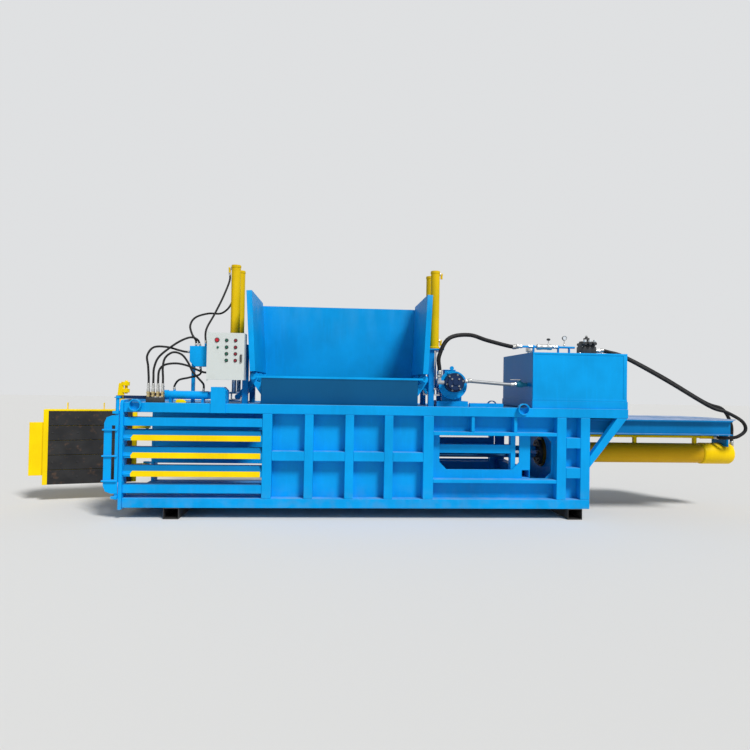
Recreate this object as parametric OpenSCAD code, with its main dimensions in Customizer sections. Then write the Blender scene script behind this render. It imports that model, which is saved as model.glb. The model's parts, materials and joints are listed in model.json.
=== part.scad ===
// Horizontal recycling baler in millimetres.
// The origin is the middle of the front skid's underside, X runs to the rear and Z is up.

/* [Body] */
// Length of the welded body, outlet face to rear face
body_len = 5600; // [5560:20:5680]
// Width over the side ribs
body_w = 1400; // [1390:2:1410]
// Height of the body above its skids
body_h = 1220; // [1212:2:1230]
// Width of the bale chamber
chamber_w = 1100; // [1096:1:1104]
// Height of the bale chamber
chamber_h = 990; // [980:1:996]
// Thickness of the chamber wall plates
wall_t = 20; // [16:1:22]
// Height of the long rails
rail_h = 112; // [106:1:116]
// Thickness of the outlet end frame
frame_t = 40; // [30:1:50]
// Thickness of deck and hopper plates
plate_t = 10; // [8:1:12]
// How far the top rails reach past the rear face
rail_reach = 480; // [440:10:520]
// Inner radius of the lifting rings
ring_r = 58; // [50:1:60]

/* [Skids] */
// Distance of the front skid from the outlet face
front_skid_x = 600; // [560:10:640]
// Distance between the two skids
skid_pitch = 4820; // [4760:10:4860]
// Width of a skid tube
skid_w = 180; // [160:2:200]
// Height of a skid tube
skid_h = 130; // [120:1:140]
// Wall of a skid tube
skid_t = 8; // [6:1:10]

/* [Hopper and press flaps] */
// Height of the flap hinges above the body
hinge_h = 325; // [310:5:340]
// Length of a flap from its hinge
flap_len = 1035; // [1000:5:1038]
// Thickness of a flap
flap_t = 65; // [60:1:68]
// Outward lean of the open left flap in degrees
left_lean = 3.5; // [2:0.5:6]
// Outward lean of the open right flap in degrees
right_lean = 2.5; // [1:0.5:5]
// Radius of the flap shafts
flap_shaft_r = 35; // [32:1:38]
// Radius of the left crank arms
left_crank_r = 340; // [330:2:346]
// Radius of the right crank arms
right_crank_r = 205; // [200:1:208]
// Radius of the crank pins
pin_r = 18; // [15:1:20]
// Spacing of the two press cylinders of a flap
press_pitch = 380; // [370:2:400]
// Outer radius of a press cylinder
press_r = 57; // [54:1:60]
// Radius of a press cylinder rod
press_rod_r = 28; // [24:1:30]

/* [Ram and main cylinder] */
// Stroke of the ram
stroke = 2000; // [1900:20:2040]
// Length of the ram
ram_len = 1080; // [1060:5:1090]
// Gap between the ram and the chamber on each side
ram_gap = 6; // [4:1:8]
// Height of the cylinder axis above the underside of the body
axis_h = 620; // [610:2:630]
// Outer radius of the main barrel
barrel_r = 132; // [128:1:136]
// Bore radius of the main barrel
bore_r = 110; // [104:1:114]
// Radius of the main rod
rod_r = 80; // [70:1:88]
// Running clearance of rods, pins and shafts
run_gap = 0.05; // [0.02:0.01:0.08]

/* [Door and lock] */
// Width of the door from its hinge to its free edge
door_w = 1270; // [1262:1:1276]
// Opening angle of the door at rest
door_open = 74; // [68:1:80]
// Radius of the door hinge pins
door_pin_r = 22; // [18:1:25]
// Radius of the lock shaft
lock_shaft_r = 20; // [17:1:24]
// Swing of the lock in degrees
lock_swing = 25; // [20:1:28]
// Radius of the lock crank
lock_crank_r = 222; // [218:1:226]

/* [Deck fittings] */
// Length of the oil tank
tank_l = 1196; // [1160:4:1200]
// Depth of the oil tank
tank_d = 1273; // [1240:4:1290]
// Height of the oil tank above its base band
tank_h = 595; // [560:5:620]
// Radius of the motor flange
motor_r = 180; // [170:1:184]
// Width of the control cabinet
cabinet_w = 435; // [420:1:436]
// Height of the control cabinet
cabinet_h = 555; // [540:5:570]
// Radius of the push button caps
button_r = 13; // [11:0.5:15]
// Travel of the push buttons
button_travel = 4; // [3:0.5:5]

/* [Hidden] */
$fn = 48;
BLUE = [0.02, 0.5, 0.8];
DARK_BLUE = [0.02, 0.25, 0.5];
YELLOW = [0.95, 0.72, 0.02];
BLACK = [0.05, 0.05, 0.06];
STEEL = [0.6, 0.6, 0.62];
IVORY = [0.85, 0.85, 0.76];
GREEN = [0.02, 0.25, 0.15];
RED = [0.6, 0.03, 0.05];

z_bot = skid_h;
z_top = skid_h + body_h;
x_in = at(frame_t);
x_end = at(body_len);
y_out = body_w / 2;
y_in = chamber_w / 2;
y_wall = y_in + wall_t;
floor_z = z_bot + rail_h + 8;
ceil_z = floor_z + chamber_h;
low_rail_z = z_bot + rail_h;
top_rail_z = z_top - rail_h;
deck_z = z_top - plate_t;
axis_z = z_bot + axis_h;
weld = 0.3;

// Posts, given by the distance of their middle from the outlet face and their width
FEED_POSTS = [[1690, 112], [2180, 104], [2660, 104], [3130, 104], [3609, 124]];
REAR_POSTS = [[body_len - 355, 118], [body_len - 59, 118]];
post_a = at(FEED_POSTS[0][0] - FEED_POSTS[0][1] / 2);
post_e = at(FEED_POSTS[4][0] + FEED_POSTS[4][1] / 2);
post_f = at(REAR_POSTS[0][0] - REAR_POSTS[0][1] / 2);
post_g = at(REAR_POSTS[1][0] - REAR_POSTS[1][1] / 2);
// Bars of the bale chamber, each by its place in the clear height and its own height
clear_h = top_rail_z - low_rail_z;
BARS = [[0.0582 * clear_h, 102], [0.2028 * clear_h, 128], [0.4076 * clear_h, 128],
    [0.6225 * clear_h, 128], [0.8414 * clear_h, 102]];
bar_depth = y_out - y_in - 10;
strip_h = 67;
// The window of the rear section between these heights
win_top = z_top - 343;
win_low = z_bot + 350;
flange_h = [44, 44];
bay = post_f - post_e;
STUBS = [post_e + 0.304 * bay, post_e + 0.65 * bay];
FRONT_BEAMS = [at(120), at(560), at(1000)];
FEED_BEAMS = [at(1640), at(2180), at(2660), at(3130)];
REAR_BEAMS = [post_e - 62, STUBS[0], STUBS[1], post_f + 59, x_end - 50];

hinge_z = z_top + hinge_h;
left_hinge_x = at(1495);
right_hinge_x = at(3575);
flap_y = [-y_out + 100, y_in - 4];
throat_x = [at(1600), at(3480)];
crank_half = 47.5;
press_y = press_pitch / 2;
yoke_t = 36;
crank_gap = [yoke_t / 2 + 16, yoke_t / 2 + 34];
left_press_x = left_hinge_x - left_crank_r * (1 + cos(crank_half)) / 2;
right_press_x = right_hinge_x + right_crank_r * (1 + cos(crank_half)) / 2;
stand_z = z_top + 700;
stand_t = 20;
press_top = z_top + 1730;

mount_x = [x_end - 360, x_end - 300];
ram_x = mount_x[0] - 520 - ram_len;
ram_half = y_in - ram_gap;
ram_low = floor_z + ram_gap / 2;
ram_high = ceil_z - ram_gap;
barrel_end = mount_x[1] + 2570;
cap_x = barrel_end - 430;
piston_x = barrel_end - 210;
pipe_z = axis_z + barrel_r + 90;

door_x = at(-120);
door_y = y_out + 40;
door_face = at(0) - 6 - door_x;
lock_x = at(-22);
lock_y = -y_out - 22;
lock_z = z_top + 91;
link_z = z_top + 56;
link_x = at(300);

tank_x = x_end - 711;
tank_y = -y_out + 50;
tank_base_h = 90;
tank_top = z_top + tank_base_h + tank_h;
motor_x = tank_x - 924;
motor_z = z_top + 265;
pump_y = -y_out + 270;
cab_x = at(965);
cab_z = z_top + 280;
cab_y = -y_out + 50;
cab_d = 180;
door_t = 20;
door_pin = 3.5;

function at(d) = d - front_skid_x;

module box(x, y, z) {
    translate([x[0], y[0], z[0]])
        cube([x[1] - x[0], y[1] - y[0], z[1] - z[0]]);
}

module both_sides() {
    children();
    mirror([0, 1, 0]) children();
}

// A round bar along one axis, from a to b, through the point [u, v] of the other two
module bar_x(r, a, b, u, v) {
    translate([a, u, v]) rotate([0, 90, 0]) cylinder(r = r, h = b - a);
}

module bar_y(r, a, b, u, v) {
    translate([u, a, v]) rotate([-90, 0, 0]) cylinder(r = r, h = b - a);
}

module bar_z(r, a, b, u, v) {
    translate([u, v, a]) cylinder(r = r, h = b - a);
}

// A flat plate in the XZ plane between two depths, cut to an outline
module plate_xz(points, y0, y1) {
    translate([0, y1, 0]) rotate([90, 0, 0]) linear_extrude(y1 - y0) polygon(points);
}

// A profile in the YZ plane drawn along X
module along_x(x0, x1) {
    translate([x0, 0, 0]) rotate([90, 0, 90]) linear_extrude(x1 - x0) children();
}

// Supporting structure

module skids() {
    color(BLACK)
        for (x = [0, skid_pitch])
            difference() {
                box([x - skid_w / 2, x + skid_w / 2], [-y_out, y_out], [0, skid_h]);
                box([x - skid_w / 2 + skid_t, x + skid_w / 2 - skid_t],
                    [-y_out - 1, y_out + 1], [skid_t, skid_h - skid_t]);
            }
}

module rails() {
    color(BLUE)
        both_sides() {
            box([x_in, x_end], [y_wall, y_out], [z_bot, low_rail_z]);
            box([x_in, x_end + rail_reach], [y_wall, y_out], [top_rail_z, z_top]);
        }
}

module end_frame() {
    color(BLUE)
        along_x(at(0), x_in)
            difference() {
                union() {
                    translate([-y_out - 20, z_bot - 20]) square([body_w + 40, body_h - 10]);
                    translate([-y_out + 40, z_bot - 20]) square([body_w - 80, body_h + 50]);
                    for (s = [-1, 1])
                        translate([s * (y_out - 40), z_top - 30]) circle(r = 60);
                }
                translate([-y_in, floor_z]) square([chamber_w, chamber_h]);
            }
}

module side_posts() {
    color(BLUE)
        both_sides()
            for (p = concat(FEED_POSTS, REAR_POSTS))
                box([at(p[0] - p[1] / 2), at(p[0] + p[1] / 2)], [y_wall, y_out],
                    [low_rail_z, top_rail_z]);
}

module side_ribs() {
    rib_z = z_bot + 556;
    color(BLUE)
        both_sides() {
            for (i = [0:3])
                box([at(FEED_POSTS[i][0] + FEED_POSTS[i][1] / 2),
                     at(FEED_POSTS[i + 1][0] - FEED_POSTS[i + 1][1] / 2)],
                    [y_wall, y_out], [rib_z, rib_z + 112]);
            for (z = [371, 735])
                box([at(body_len - 296), post_g], [y_wall, y_out], [z_bot + z, z_bot + z + 128]);
            box([post_e, post_f], [y_wall, y_out], [win_top, win_top + flange_h[0]]);
            box([post_e, post_f], [y_wall, y_out], [win_low - flange_h[1], win_low]);
            for (x = STUBS)
                box([x, x + 40], [y_wall, y_out - 12],
                    [win_top + flange_h[0] + weld, top_rail_z]);
            brace();
        }
}

module brace() {
    plate_xz([[x_end, z_bot + 506], [x_end, z_bot + 641], [x_end + 338, top_rail_z],
        [x_end + 468, top_rail_z]], y_out - 90, y_out);
}

module bale_bars() {
    color(BLUE)
        both_sides()
            for (i = [0:4]) {
                top = top_rail_z - BARS[i][0];
                low = top - BARS[i][1];
                slope = i == 0 || i == 4 ? top : low + strip_h;
                along_x(x_in, post_a)
                    polygon([[y_in, low], [y_in + bar_depth, low], [y_in + bar_depth, slope],
                        [y_in + bar_depth - (top - slope) * 0.9, top], [y_in, top]]);
            }
}

module strap_strips() {
    color(YELLOW)
        both_sides()
            for (i = [1:3]) {
                low = top_rail_z - BARS[i][0] - BARS[i][1];
                plate_xz([[x_in + 90, low], [post_a - 19, low], [post_a - 19, low + strip_h],
                    [x_in + 110, low + strip_h], [x_in + 86, low + strip_h / 2]],
                    y_out - 10, y_out);
            }
}

module rear_wall_outline() {
    difference() {
        polygon([[post_e - 50 + weld, floor_z], [x_end, floor_z], [x_end, ceil_z],
            [post_e - 50 + weld, ceil_z]]);
        window([post_e + 95, post_f - 426], [win_low + 104, win_top], [90, 90, 0, 0]);
        window([post_f - 290, post_f - 21], [win_low, win_top], [0, 75, 75, 0]);
        translate([post_f - 398 - weld, win_low - weld]) square([110, 106 + 2 * weld]);
    }
}

// An opening with 45 degree corners, from its lower left corner round
module window(x, z, c) {
    polygon([[x[0] + c[0], z[0]], [x[1] - c[1], z[0]], [x[1], z[0] + c[1]],
        [x[1], z[1] - c[2]], [x[1] - c[2], z[1]], [x[0] + c[3], z[1]],
        [x[0], z[1] - c[3]], [x[0], z[0] + c[0]]]);
}

module side_walls() {
    color(BLUE)
        both_sides() {
            box([post_a, post_e - 50], [y_in, y_wall], [floor_z, ceil_z]);
            translate([0, y_wall, 0]) rotate([90, 0, 0])
                linear_extrude(wall_t) rear_wall_outline();
        }
}

module chamber_plates() {
    color(BLUE) {
        box([x_in, x_end], [-y_wall, y_wall], [floor_z - wall_t, floor_z]);
        box([x_in, throat_x[0] - plate_t], [-y_wall, y_wall], [ceil_z, ceil_z + wall_t]);
        box([throat_x[1] + plate_t, x_end], [-y_wall, y_wall], [ceil_z, ceil_z + wall_t]);
    }
}

module deck_plates() {
    color(DARK_BLUE) {
        box([x_in, throat_x[0] - plate_t], [-y_wall, y_wall], [deck_z - plate_t, deck_z]);
        box([throat_x[1] + plate_t, x_end + rail_reach], [-y_wall, y_wall],
            [deck_z - plate_t, deck_z]);
    }
}

module cross_beams() {
    color(BLUE) {
        for (x = concat(FRONT_BEAMS, FEED_BEAMS, REAR_BEAMS))
            box([x - 40, x + 40], [-y_wall, y_wall], [z_bot, floor_z - wall_t]);
        for (x = concat(FRONT_BEAMS, [at(1500)], REAR_BEAMS))
            box([x - 40, x + 40], [-y_wall, y_wall], [ceil_z + wall_t, deck_z - plate_t]);
        box([x_end + rail_reach - 100, x_end + rail_reach], [-y_wall, y_wall],
            [top_rail_z, deck_z - plate_t]);
        difference() {
            box([post_f - 398, post_f - 292], [-y_wall, y_wall], [win_low, win_low + 106]);
            box([post_f - 390, post_f - 300], [-y_out, y_out], [win_low + 8, win_low + 98]);
        }
    }
}

module cylinder_mount() {
    color(BLUE)
        difference() {
            union() {
                box(mount_x, [-y_in, y_in], [floor_z + 120, ceil_z - 120]);
                for (s = [-1, 1])
                    box([mount_x[1] - 1, x_end], [s * 300 - 15, s * 300 + 15],
                        [floor_z + 180, ceil_z - 180]);
            }
            bar_x(barrel_r + run_gap, mount_x[0] - 1, mount_x[1] + 1, 0, axis_z);
        }
}

module rear_platform() {
    top = z_top - 132;
    low = top - 183;
    back = [x_end + 1890, x_end + 2140];
    half = y_out - 92;
    color(BLUE)
        difference() {
            union() {
                translate([0, 0, top])
                    linear_extrude(6)
                        polygon([[x_end, -half], [back[0], -half], [back[1], -300],
                            [back[1], 300], [back[0], half], [x_end, half]]);
                both_sides() {
                    box([x_end, back[0]], [half - 90, half], [top - 14, top + 1]);
                    box([x_end, back[0]], [half - 90, half], [low, low + 14]);
                    box([x_end, back[0]], [half - 60, half - 50], [low + 13, top - 13]);
                }
                box([back[1] - 30, back[1]], [-160, 160], [axis_z + barrel_r - 30, top + 1]);
                box([back[0] - 60, back[1]], [-8, 8], [top - 90, top + 1]);
            }
            bar_x(barrel_r + 10 + run_gap, back[1] - 31, back[1] + 1, 0, axis_z);
        }
}

module lifting_rings() {
    color(BLUE)
        both_sides()
            for (p = [[178, -30], [4755, -16]])
                difference() {
                    bar_y(ring_r + 12, y_out, y_out + 60, at(p[0]), z_top + p[1]);
                    bar_y(ring_r, y_out - 1, y_out + 61, at(p[0]), z_top + p[1]);
                }
}

// Hopper, press flaps and their drive

module hopper() {
    lip_z = hinge_z - 12;
    end_top = hinge_z - 65;
    x = throat_x;
    color(BLUE) {
        both_sides()
            box([x[0], x[1]], [y_in, y_in + plate_t], [ceil_z, z_top]);
        box([x[0] - plate_t, x[0]], [-y_in - plate_t, y_in + plate_t - weld], [ceil_z, end_top]);
        box([x[1], x[1] + plate_t], [-y_in - plate_t, y_in + plate_t - weld], [ceil_z, end_top]);
        along_x(x[0] + weld, x[1] - weld)
            polygon([[-y_in - plate_t, z_top + weld], [-y_in, z_top + weld],
                [-y_out + 88, lip_z - weld], [-y_out + 76, lip_z - weld]]);
        plate_xz([[x[0] + weld, z_top + weld], [x[1] - weld, z_top + weld],
            [x[1] - weld, end_top + 10], [right_hinge_x + 40, hinge_z],
            [right_hinge_x + 135, hinge_z + 995], [left_hinge_x - 155, hinge_z + 995],
            [left_hinge_x - 40, hinge_z], [x[0] + weld, end_top + 10]],
            y_in + weld, y_in + plate_t + 2);
        box([left_hinge_x + 28, right_hinge_x - 30], [-y_out + 68, -y_out + 92],
            [lip_z, lip_z + 24]);
    }
}

BRACKET_Y = [-450, 0, 450];
ARM_Y = [-400, -90, 90, 400];

module flap_brackets() {
    color(BLUE)
        for (y = BRACKET_Y) {
            flap_bracket(left_hinge_x, throat_x[0] - plate_t, y);
            flap_bracket(right_hinge_x, throat_x[1] + plate_t, y);
        }
}

module flap_bracket(hx, wall_x, y) {
    s = sign(hx - wall_x);
    difference() {
        union() {
            bar_y(flap_shaft_r + 20, y - 15, y + 15, hx, hinge_z);
            plate_xz([[wall_x, hinge_z - 80], [hx - s * 30, hinge_z - 50],
                [hx + s * (flap_shaft_r + 10), hinge_z - 30], [wall_x, hinge_z - 230]],
                y - 15, y + 15);
        }
        bar_y(flap_shaft_r + run_gap, y - 16, y + 16, hx, hinge_z);
    }
}

// A flap as it lies closed, its shaft on the Y axis and its plate towards +X
module flap(len) {
    translate([0, 0, -flap_t / 2])
        box([flap_shaft_r + 30, len], flap_y, [0, flap_t]);
    bar_y(flap_shaft_r, flap_y[0] + 60, flap_y[1] - 60, 0, 0);
    for (y = ARM_Y)
        difference() {
            union() {
                bar_y(flap_shaft_r + 17, y - 15, y + 15, 0, 0);
                box([0, flap_shaft_r + 34], [y - 15, y + 15], [-28, 28]);
            }
        }
}

// The crank arms of a flap, pointing along -X before they are turned
module cranks(r) {
    for (s = [-1, 1], k = [-1, 1]) {
        y = s * press_y + (k > 0 ? crank_gap[0] : -crank_gap[1]);
        bar_y(flap_shaft_r + 17, y, y + 18, 0, 0);
        bar_y(pin_r + 16, y, y + 18, -r, 0);
        plate_xz([[0, -34], [0, 34], [-r, pin_r + 8], [-r, -pin_r - 8]], y, y + 18);
    }
    for (s = [-1, 1])
        bar_y(pin_r, s * press_y - crank_gap[1], s * press_y + crank_gap[1], -r, 0);
}

module left_flap() {
    color(BLUE)
        translate([left_hinge_x, 0, hinge_z]) {
            rotate([0, -90 - left_lean, 0]) flap(flap_len);
            rotate([0, -crank_half, 0]) cranks(left_crank_r);
        }
}

module right_flap() {
    color(BLUE)
        translate([right_hinge_x, 0, hinge_z])
            mirror([1, 0, 0]) {
                rotate([0, -90 - right_lean, 0]) flap(flap_len);
                rotate([0, -crank_half, 0]) cranks(right_crank_r);
            }
}

module press_stand(x0, x1, post_x) {
    box([x0, x1], [-400, 400], [stand_z, stand_z + stand_t]);
    for (s = [-1, 1])
        box([post_x, post_x + 70], [s * 335 - 35, s * 335 + 35], [deck_z, stand_z + 1]);
}

module press_stands() {
    color(DARK_BLUE) {
        difference() {
            press_stand(left_press_x - 80, left_hinge_x - 87, left_hinge_x - 157);
            press_holes(left_press_x);
        }
        difference() {
            press_stand(right_hinge_x + 75, right_press_x + 90, right_hinge_x + 75);
            press_holes(right_press_x);
        }
        box([cab_x + cabinet_w - 60, cab_x + cabinet_w - 20], [cab_y + cab_d, -370 - weld],
            [cab_z + 60, cab_z + 400]);
    }
}

module press_holes(x) {
    for (s = [-1, 1])
        bar_z(press_rod_r + 8, stand_z - 1, stand_z + stand_t + 1, x, s * press_y);
}

module press_barrels() {
    low = stand_z + stand_t;
    color(YELLOW)
        for (x = [left_press_x, right_press_x], s = [-1, 1])
            difference() {
                union() {
                    bar_z(press_r, low, press_top, x, s * press_y);
                    bar_z(press_r + 14, low, low + 24, x, s * press_y);
                    for (z = [low + 110, press_top - 40])
                        press_port(x, x > right_hinge_x ? 1 : -1, s * press_y, z);
                }
                bar_z(press_r - 10, low + 40, press_top - 24, x, s * press_y);
                bar_z(press_rod_r + run_gap, low - 1, low + 41, x, s * press_y);
            }
}

module press_port(x, side, y, z) {
    bar_x(14, min(x, x + side * (press_r + 38)), max(x, x + side * (press_r + 38)), y, z);
    bar_z(14, z - 60, z, x + side * (press_r + 24), y);
}

// A press rod with its piston and slotted yoke, at the crank's lowest point
module press_rod(x, crank_r) {
    rest_z = hinge_z - crank_r * sin(crank_half);
    travel = 2 * crank_r * sin(crank_half);
    run = crank_r * (1 - cos(crank_half));
    slot_h = pin_r + 4 + crank_r * 0.04;
    half_x = run / 2 + pin_r + 26;
    for (s = [-1, 1])
        translate([x, s * press_y, rest_z]) {
            difference() {
                box([-half_x, half_x], [-yoke_t / 2, yoke_t / 2], [-slot_h - 18, slot_h + 24]);
                box([-half_x + 20, half_x - 20], [-yoke_t / 2 - 1, yoke_t / 2 + 1],
                    [-slot_h, slot_h]);
            }
            bar_z(press_rod_r, slot_h + 20, stand_z + 160 - rest_z, 0, 0);
            bar_z(press_r - 10 - run_gap, stand_z + 120 - rest_z, stand_z + 160 - rest_z, 0, 0);
        }
}

module left_press_rods() {
    color(STEEL) press_rod(left_press_x, left_crank_r);
}

module right_press_rods() {
    color(STEEL) press_rod(right_press_x, right_crank_r);
}

// Ram and main cylinder

module ram() {
    back = ram_x + ram_len;
    color(BLUE) {
        box([ram_x, ram_x + 50], [-ram_half, ram_half], [ram_low, ram_high]);
        for (z = [ram_low, ram_high - 20])
            box([ram_x + 50 + weld, back], [-ram_half, ram_half], [z, z + 20]);
        both_sides() {
            for (z = [z_bot + 323, z_bot + 651])
                box([ram_x + 50 + weld, back - 60 - weld], [ram_half - 100, ram_half],
                    [z, z + 106]);
            box([back - 60, back], [ram_half - 100, ram_half],
                [ram_low + 20 + weld, ram_high - 20 - weld]);
        }
    }
}

module main_rod() {
    color(STEEL) {
        bar_x(rod_r, ram_x + 50, piston_x + 100, 0, axis_z);
        bar_x(rod_r + 60, ram_x + 50, ram_x + 90, 0, axis_z);
        bar_x(bore_r - run_gap, piston_x, piston_x + 100, 0, axis_z);
    }
}

module main_barrel() {
    front = mount_x[0] - 30;
    color(YELLOW)
        difference() {
            union() {
                bar_x(barrel_r, front, barrel_end - 60, 0, axis_z);
                bar_x(barrel_r + 60, mount_x[0] - 30, mount_x[0], 0, axis_z);
                translate([cap_x, 0, axis_z]) rotate([0, 90, 0])
                    rotate_extrude()
                        polygon([[0, 0], [barrel_r + 6, 0], [barrel_r + 10, 4],
                            [barrel_r + 10, 385], [barrel_r - 6, 415],
                            [barrel_r - 30, barrel_end - cap_x], [0, barrel_end - cap_x]]);
                bar_x(26, barrel_end - 5, barrel_end + 46, 0, axis_z);
                bar_z(26, axis_z, axis_z + 110, barrel_end + 20, 0);
            }
            bar_x(bore_r, front - 1, barrel_end - 80, 0, axis_z);
        }
}

module main_gland() {
    front = mount_x[0] - 30;
    color(STEEL)
        difference() {
            union() {
                bar_x(barrel_r + 30, front - 40, front, 0, axis_z);
                bar_x(bore_r - run_gap, front - 1, front + 160, 0, axis_z);
            }
            bar_x(rod_r + run_gap, front - 41, front + 161, 0, axis_z);
        }
}

module oil_pipe() {
    z = pipe_z;
    ends = [mount_x[1] + 40, cap_x - 20];
    color(YELLOW)
        difference() {
            union() {
                bar_x(18, ends[0] - 18, cap_x + 1, 0, z);
                bar_z(22, axis_z, z, ends[0], 0);
                for (x = [ends[1] - 900, ends[1] - 60])
                    box([x - 20, x + 20], [-24, 24], [axis_z, z]);
                bar_x(26, cap_x, cap_x + 230, 0, z);
                bar_y(22, -60, 0, cap_x + 190, z);
            }
            bar_x(barrel_r + weld, ends[0] - 60, ends[1] + 1, 0, axis_z);
        }
}

// Lock of the bale door

module lock_frame() {
    low = z_bot + 172;
    high = z_bot + 1070;
    edge = [at(-158) - lock_x, at(-10) - lock_x];
    color(BLUE)
        translate([lock_x, lock_y, 0]) {
            translate([0, -16, 0])
                difference() {
                    plate_xz([[edge[1] + 12, low], [edge[0] + 90, low], [edge[0] + 26, low + 24],
                        [edge[0], low + 90], [edge[0], high - 90], [edge[0] + 26, high - 24],
                        [edge[0] + 90, high], [edge[1] + 12, high]], -12, 4);
                    box([edge[0] + 85, edge[0] + 125], [-20, 20], [z_bot + 332, z_bot + 954]);
                }
            for (z = [317, 604, 904])
                box([edge[0] - 14, 20], [-50, -12], [z_bot + z - 8, z_bot + z + 8]);
            bar_z(lock_shaft_r, z_bot + 100, link_z + 19, 0, 0);
            rotate([0, 0, lock_swing / 2]) {
                bar_z(lock_shaft_r + 16, link_z - 6, link_z + 6, 0, 0);
                bar_z(26, link_z - 6, link_z + 6, 0, lock_crank_r);
                box([-18, 18], [0, lock_crank_r], [link_z - 6, link_z + 6]);
                bar_z(12, link_z - 19, link_z + 19, 0, lock_crank_r);
            }
        }
}

module lock_brackets() {
    color(BLUE)
        for (z = [z_bot + 112, z_bot + 1090])
            difference() {
                box([lock_x - 44, at(0)], [lock_y - 36, lock_y + 122], [z, z + 30]);
                bar_z(lock_shaft_r + run_gap, z - 1, z + 31, lock_x, lock_y);
            }
}

// The lock cylinder lies along X with its rear eye in a block that straddles the near rail
module lock_cylinder() {
    y = lock_y + lock_crank_r;
    block = [at(1030), at(1200)];
    color(BLUE) {
        difference() {
            union() {
                bar_x(50, at(450), at(960), y, lock_z);
                bar_x(58, at(450), at(490), y, lock_z);
                bar_z(16, lock_z + 40, lock_z + 62, at(560), y);
                box([at(960), block[0] + 10], [y - 20, y + 20], [lock_z - 26, lock_z + 26]);
                for (s = [-1, 1])
                    box([at(970), block[0] + 1], [y - 34, y + 34],
                        [lock_z + s * 36 - 10, lock_z + s * 36 + 10]);
                for (x = [at(520), at(900)])
                    box([x - 15, x + 15], [y - 40, y + 40], [deck_z, lock_z - 30]);
            }
            bar_x(32, at(480), at(930), y, lock_z);
            bar_x(20 + run_gap, at(440), at(481), y, lock_z);
        }
        plate_xz([[block[0], z_top + weld], [block[1], z_top + weld], [block[1], z_top + 154],
            [block[1] - 40, z_top + 194], [block[0], z_top + 194]], -y_out - 14, y + 34);
        box(block, [-y_out - 14, -y_out], [top_rail_z + 2, z_top + 1]);
    }
}

module lock_rod() {
    y = lock_y + lock_crank_r;
    pin_x = lock_x - lock_crank_r * sin(lock_swing / 2);
    eye = lock_crank_r * (1 - cos(lock_swing / 2)) / 2 + 16;
    color(STEEL)
        difference() {
            union() {
                bar_x(20, link_x, at(560), y, lock_z);
                bar_x(32 - run_gap, at(560), at(600), y, lock_z);
                box([link_x - 16, link_x + 4], [y - eye - 20, y + eye + 20],
                    [link_z - 19, lock_z + 26]);
                for (s = [-1, 1])
                    box([pin_x - 34, link_x - 12], [y - eye - 20, y + eye + 20],
                        [link_z + s * 13 - 6, link_z + s * 13 + 6]);
                box([pin_x + 46, link_x - 12], [y - eye - 20, y + eye + 20],
                    [link_z - 18, link_z + 18]);
            }
            box([pin_x - 14, pin_x + 14], [y - eye - 1, y + eye - 1],
                [link_z - 40, link_z + 40]);
        }
}

// Bale door, drawn closed and turned open about its far hinge

module door_pose() {
    translate([door_x, door_y, 0]) rotate([0, 0, -door_open]) children();
}

door_low = floor_z - 28;
door_high = ceil_z - 30;
door_rim = 60;

module door_frame() {
    color(YELLOW)
        door_pose()
            union() {
                box([door_face - 58, door_face - 30], [-door_w, -130], [door_low, door_high]);
                for (z = [door_low, door_low + 300, door_high - 360, door_high - 60])
                    box([door_face - 130, door_face - 57], [-door_w, -130], [z, z + 60]);
                for (y = [-door_w, -200])
                    box([door_face - 130, door_face - 57], [y, y + 70], [door_low, door_high]);
                box([door_face - 58, door_face], [-door_w, -door_w + door_rim],
                    [door_low, door_high]);
                box([door_face - 58, door_face], [-door_w + door_rim - 1, -190],
                    [door_high - 22, door_high]);
                for (z = [door_low + 120, door_high - 260])
                    difference() {
                        union() {
                            bar_z(door_pin_r + 22, z, z + 120, 0, 0);
                            box([0, door_face - 30], [-131, -10], [z, z + 120]);
                        }
                        bar_z(door_pin_r + run_gap, z - 1, z + 121, 0, 0);
                    }
            }
}

module door_liners() {
    rows = 5;
    pitch = (door_high - 22 - door_low) / rows;
    color(BLACK)
        door_pose()
            for (i = [0:rows - 1])
                box([door_face - 30, door_face], [-door_w + door_rim + weld, -190],
                    [door_low + i * pitch + 3, door_low + (i + 1) * pitch - 3]);
}

module door_fittings() {
    post_y = -347;
    color(YELLOW)
        door_pose() {
            box([door_face - 74, door_face - 58], [-door_w - 170, -door_w],
                [z_bot + 211, z_bot + 909]);
            along_x(door_face - 100, door_face - 30)
                polygon([[post_y - 60, door_high], [post_y + 60, door_high],
                    [post_y + 28, z_top + 220], [post_y - 28, z_top + 220]]);
            for (z = [z_top + 91, z_top + 186])
                bar_z(55, z, z + 52, door_face - 65, post_y + 55);
            bar_z(20, z_top + 76, z_top + 256, door_face - 65, post_y + 65);
            for (y = [-1003, -560])
                box([door_face - 110, door_face - 50], [y, y + 12], [door_high, door_high + 88]);
        }
}

module door_hinges() {
    color(BLUE)
        for (z = [door_low + 120, door_high - 260])
            union() {
                bar_z(door_pin_r, z - 30, z + 140, door_x, door_y);
                for (k = [z - 42, z + 121])
                    hull() {
                        bar_z(door_pin_r + 20, k, k + 20, door_x, door_y);
                        box([at(0) - 20, at(0)], [y_out - 60, y_out + 20], [k, k + 20]);
                    }
            }
}

// Control cabinet

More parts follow.
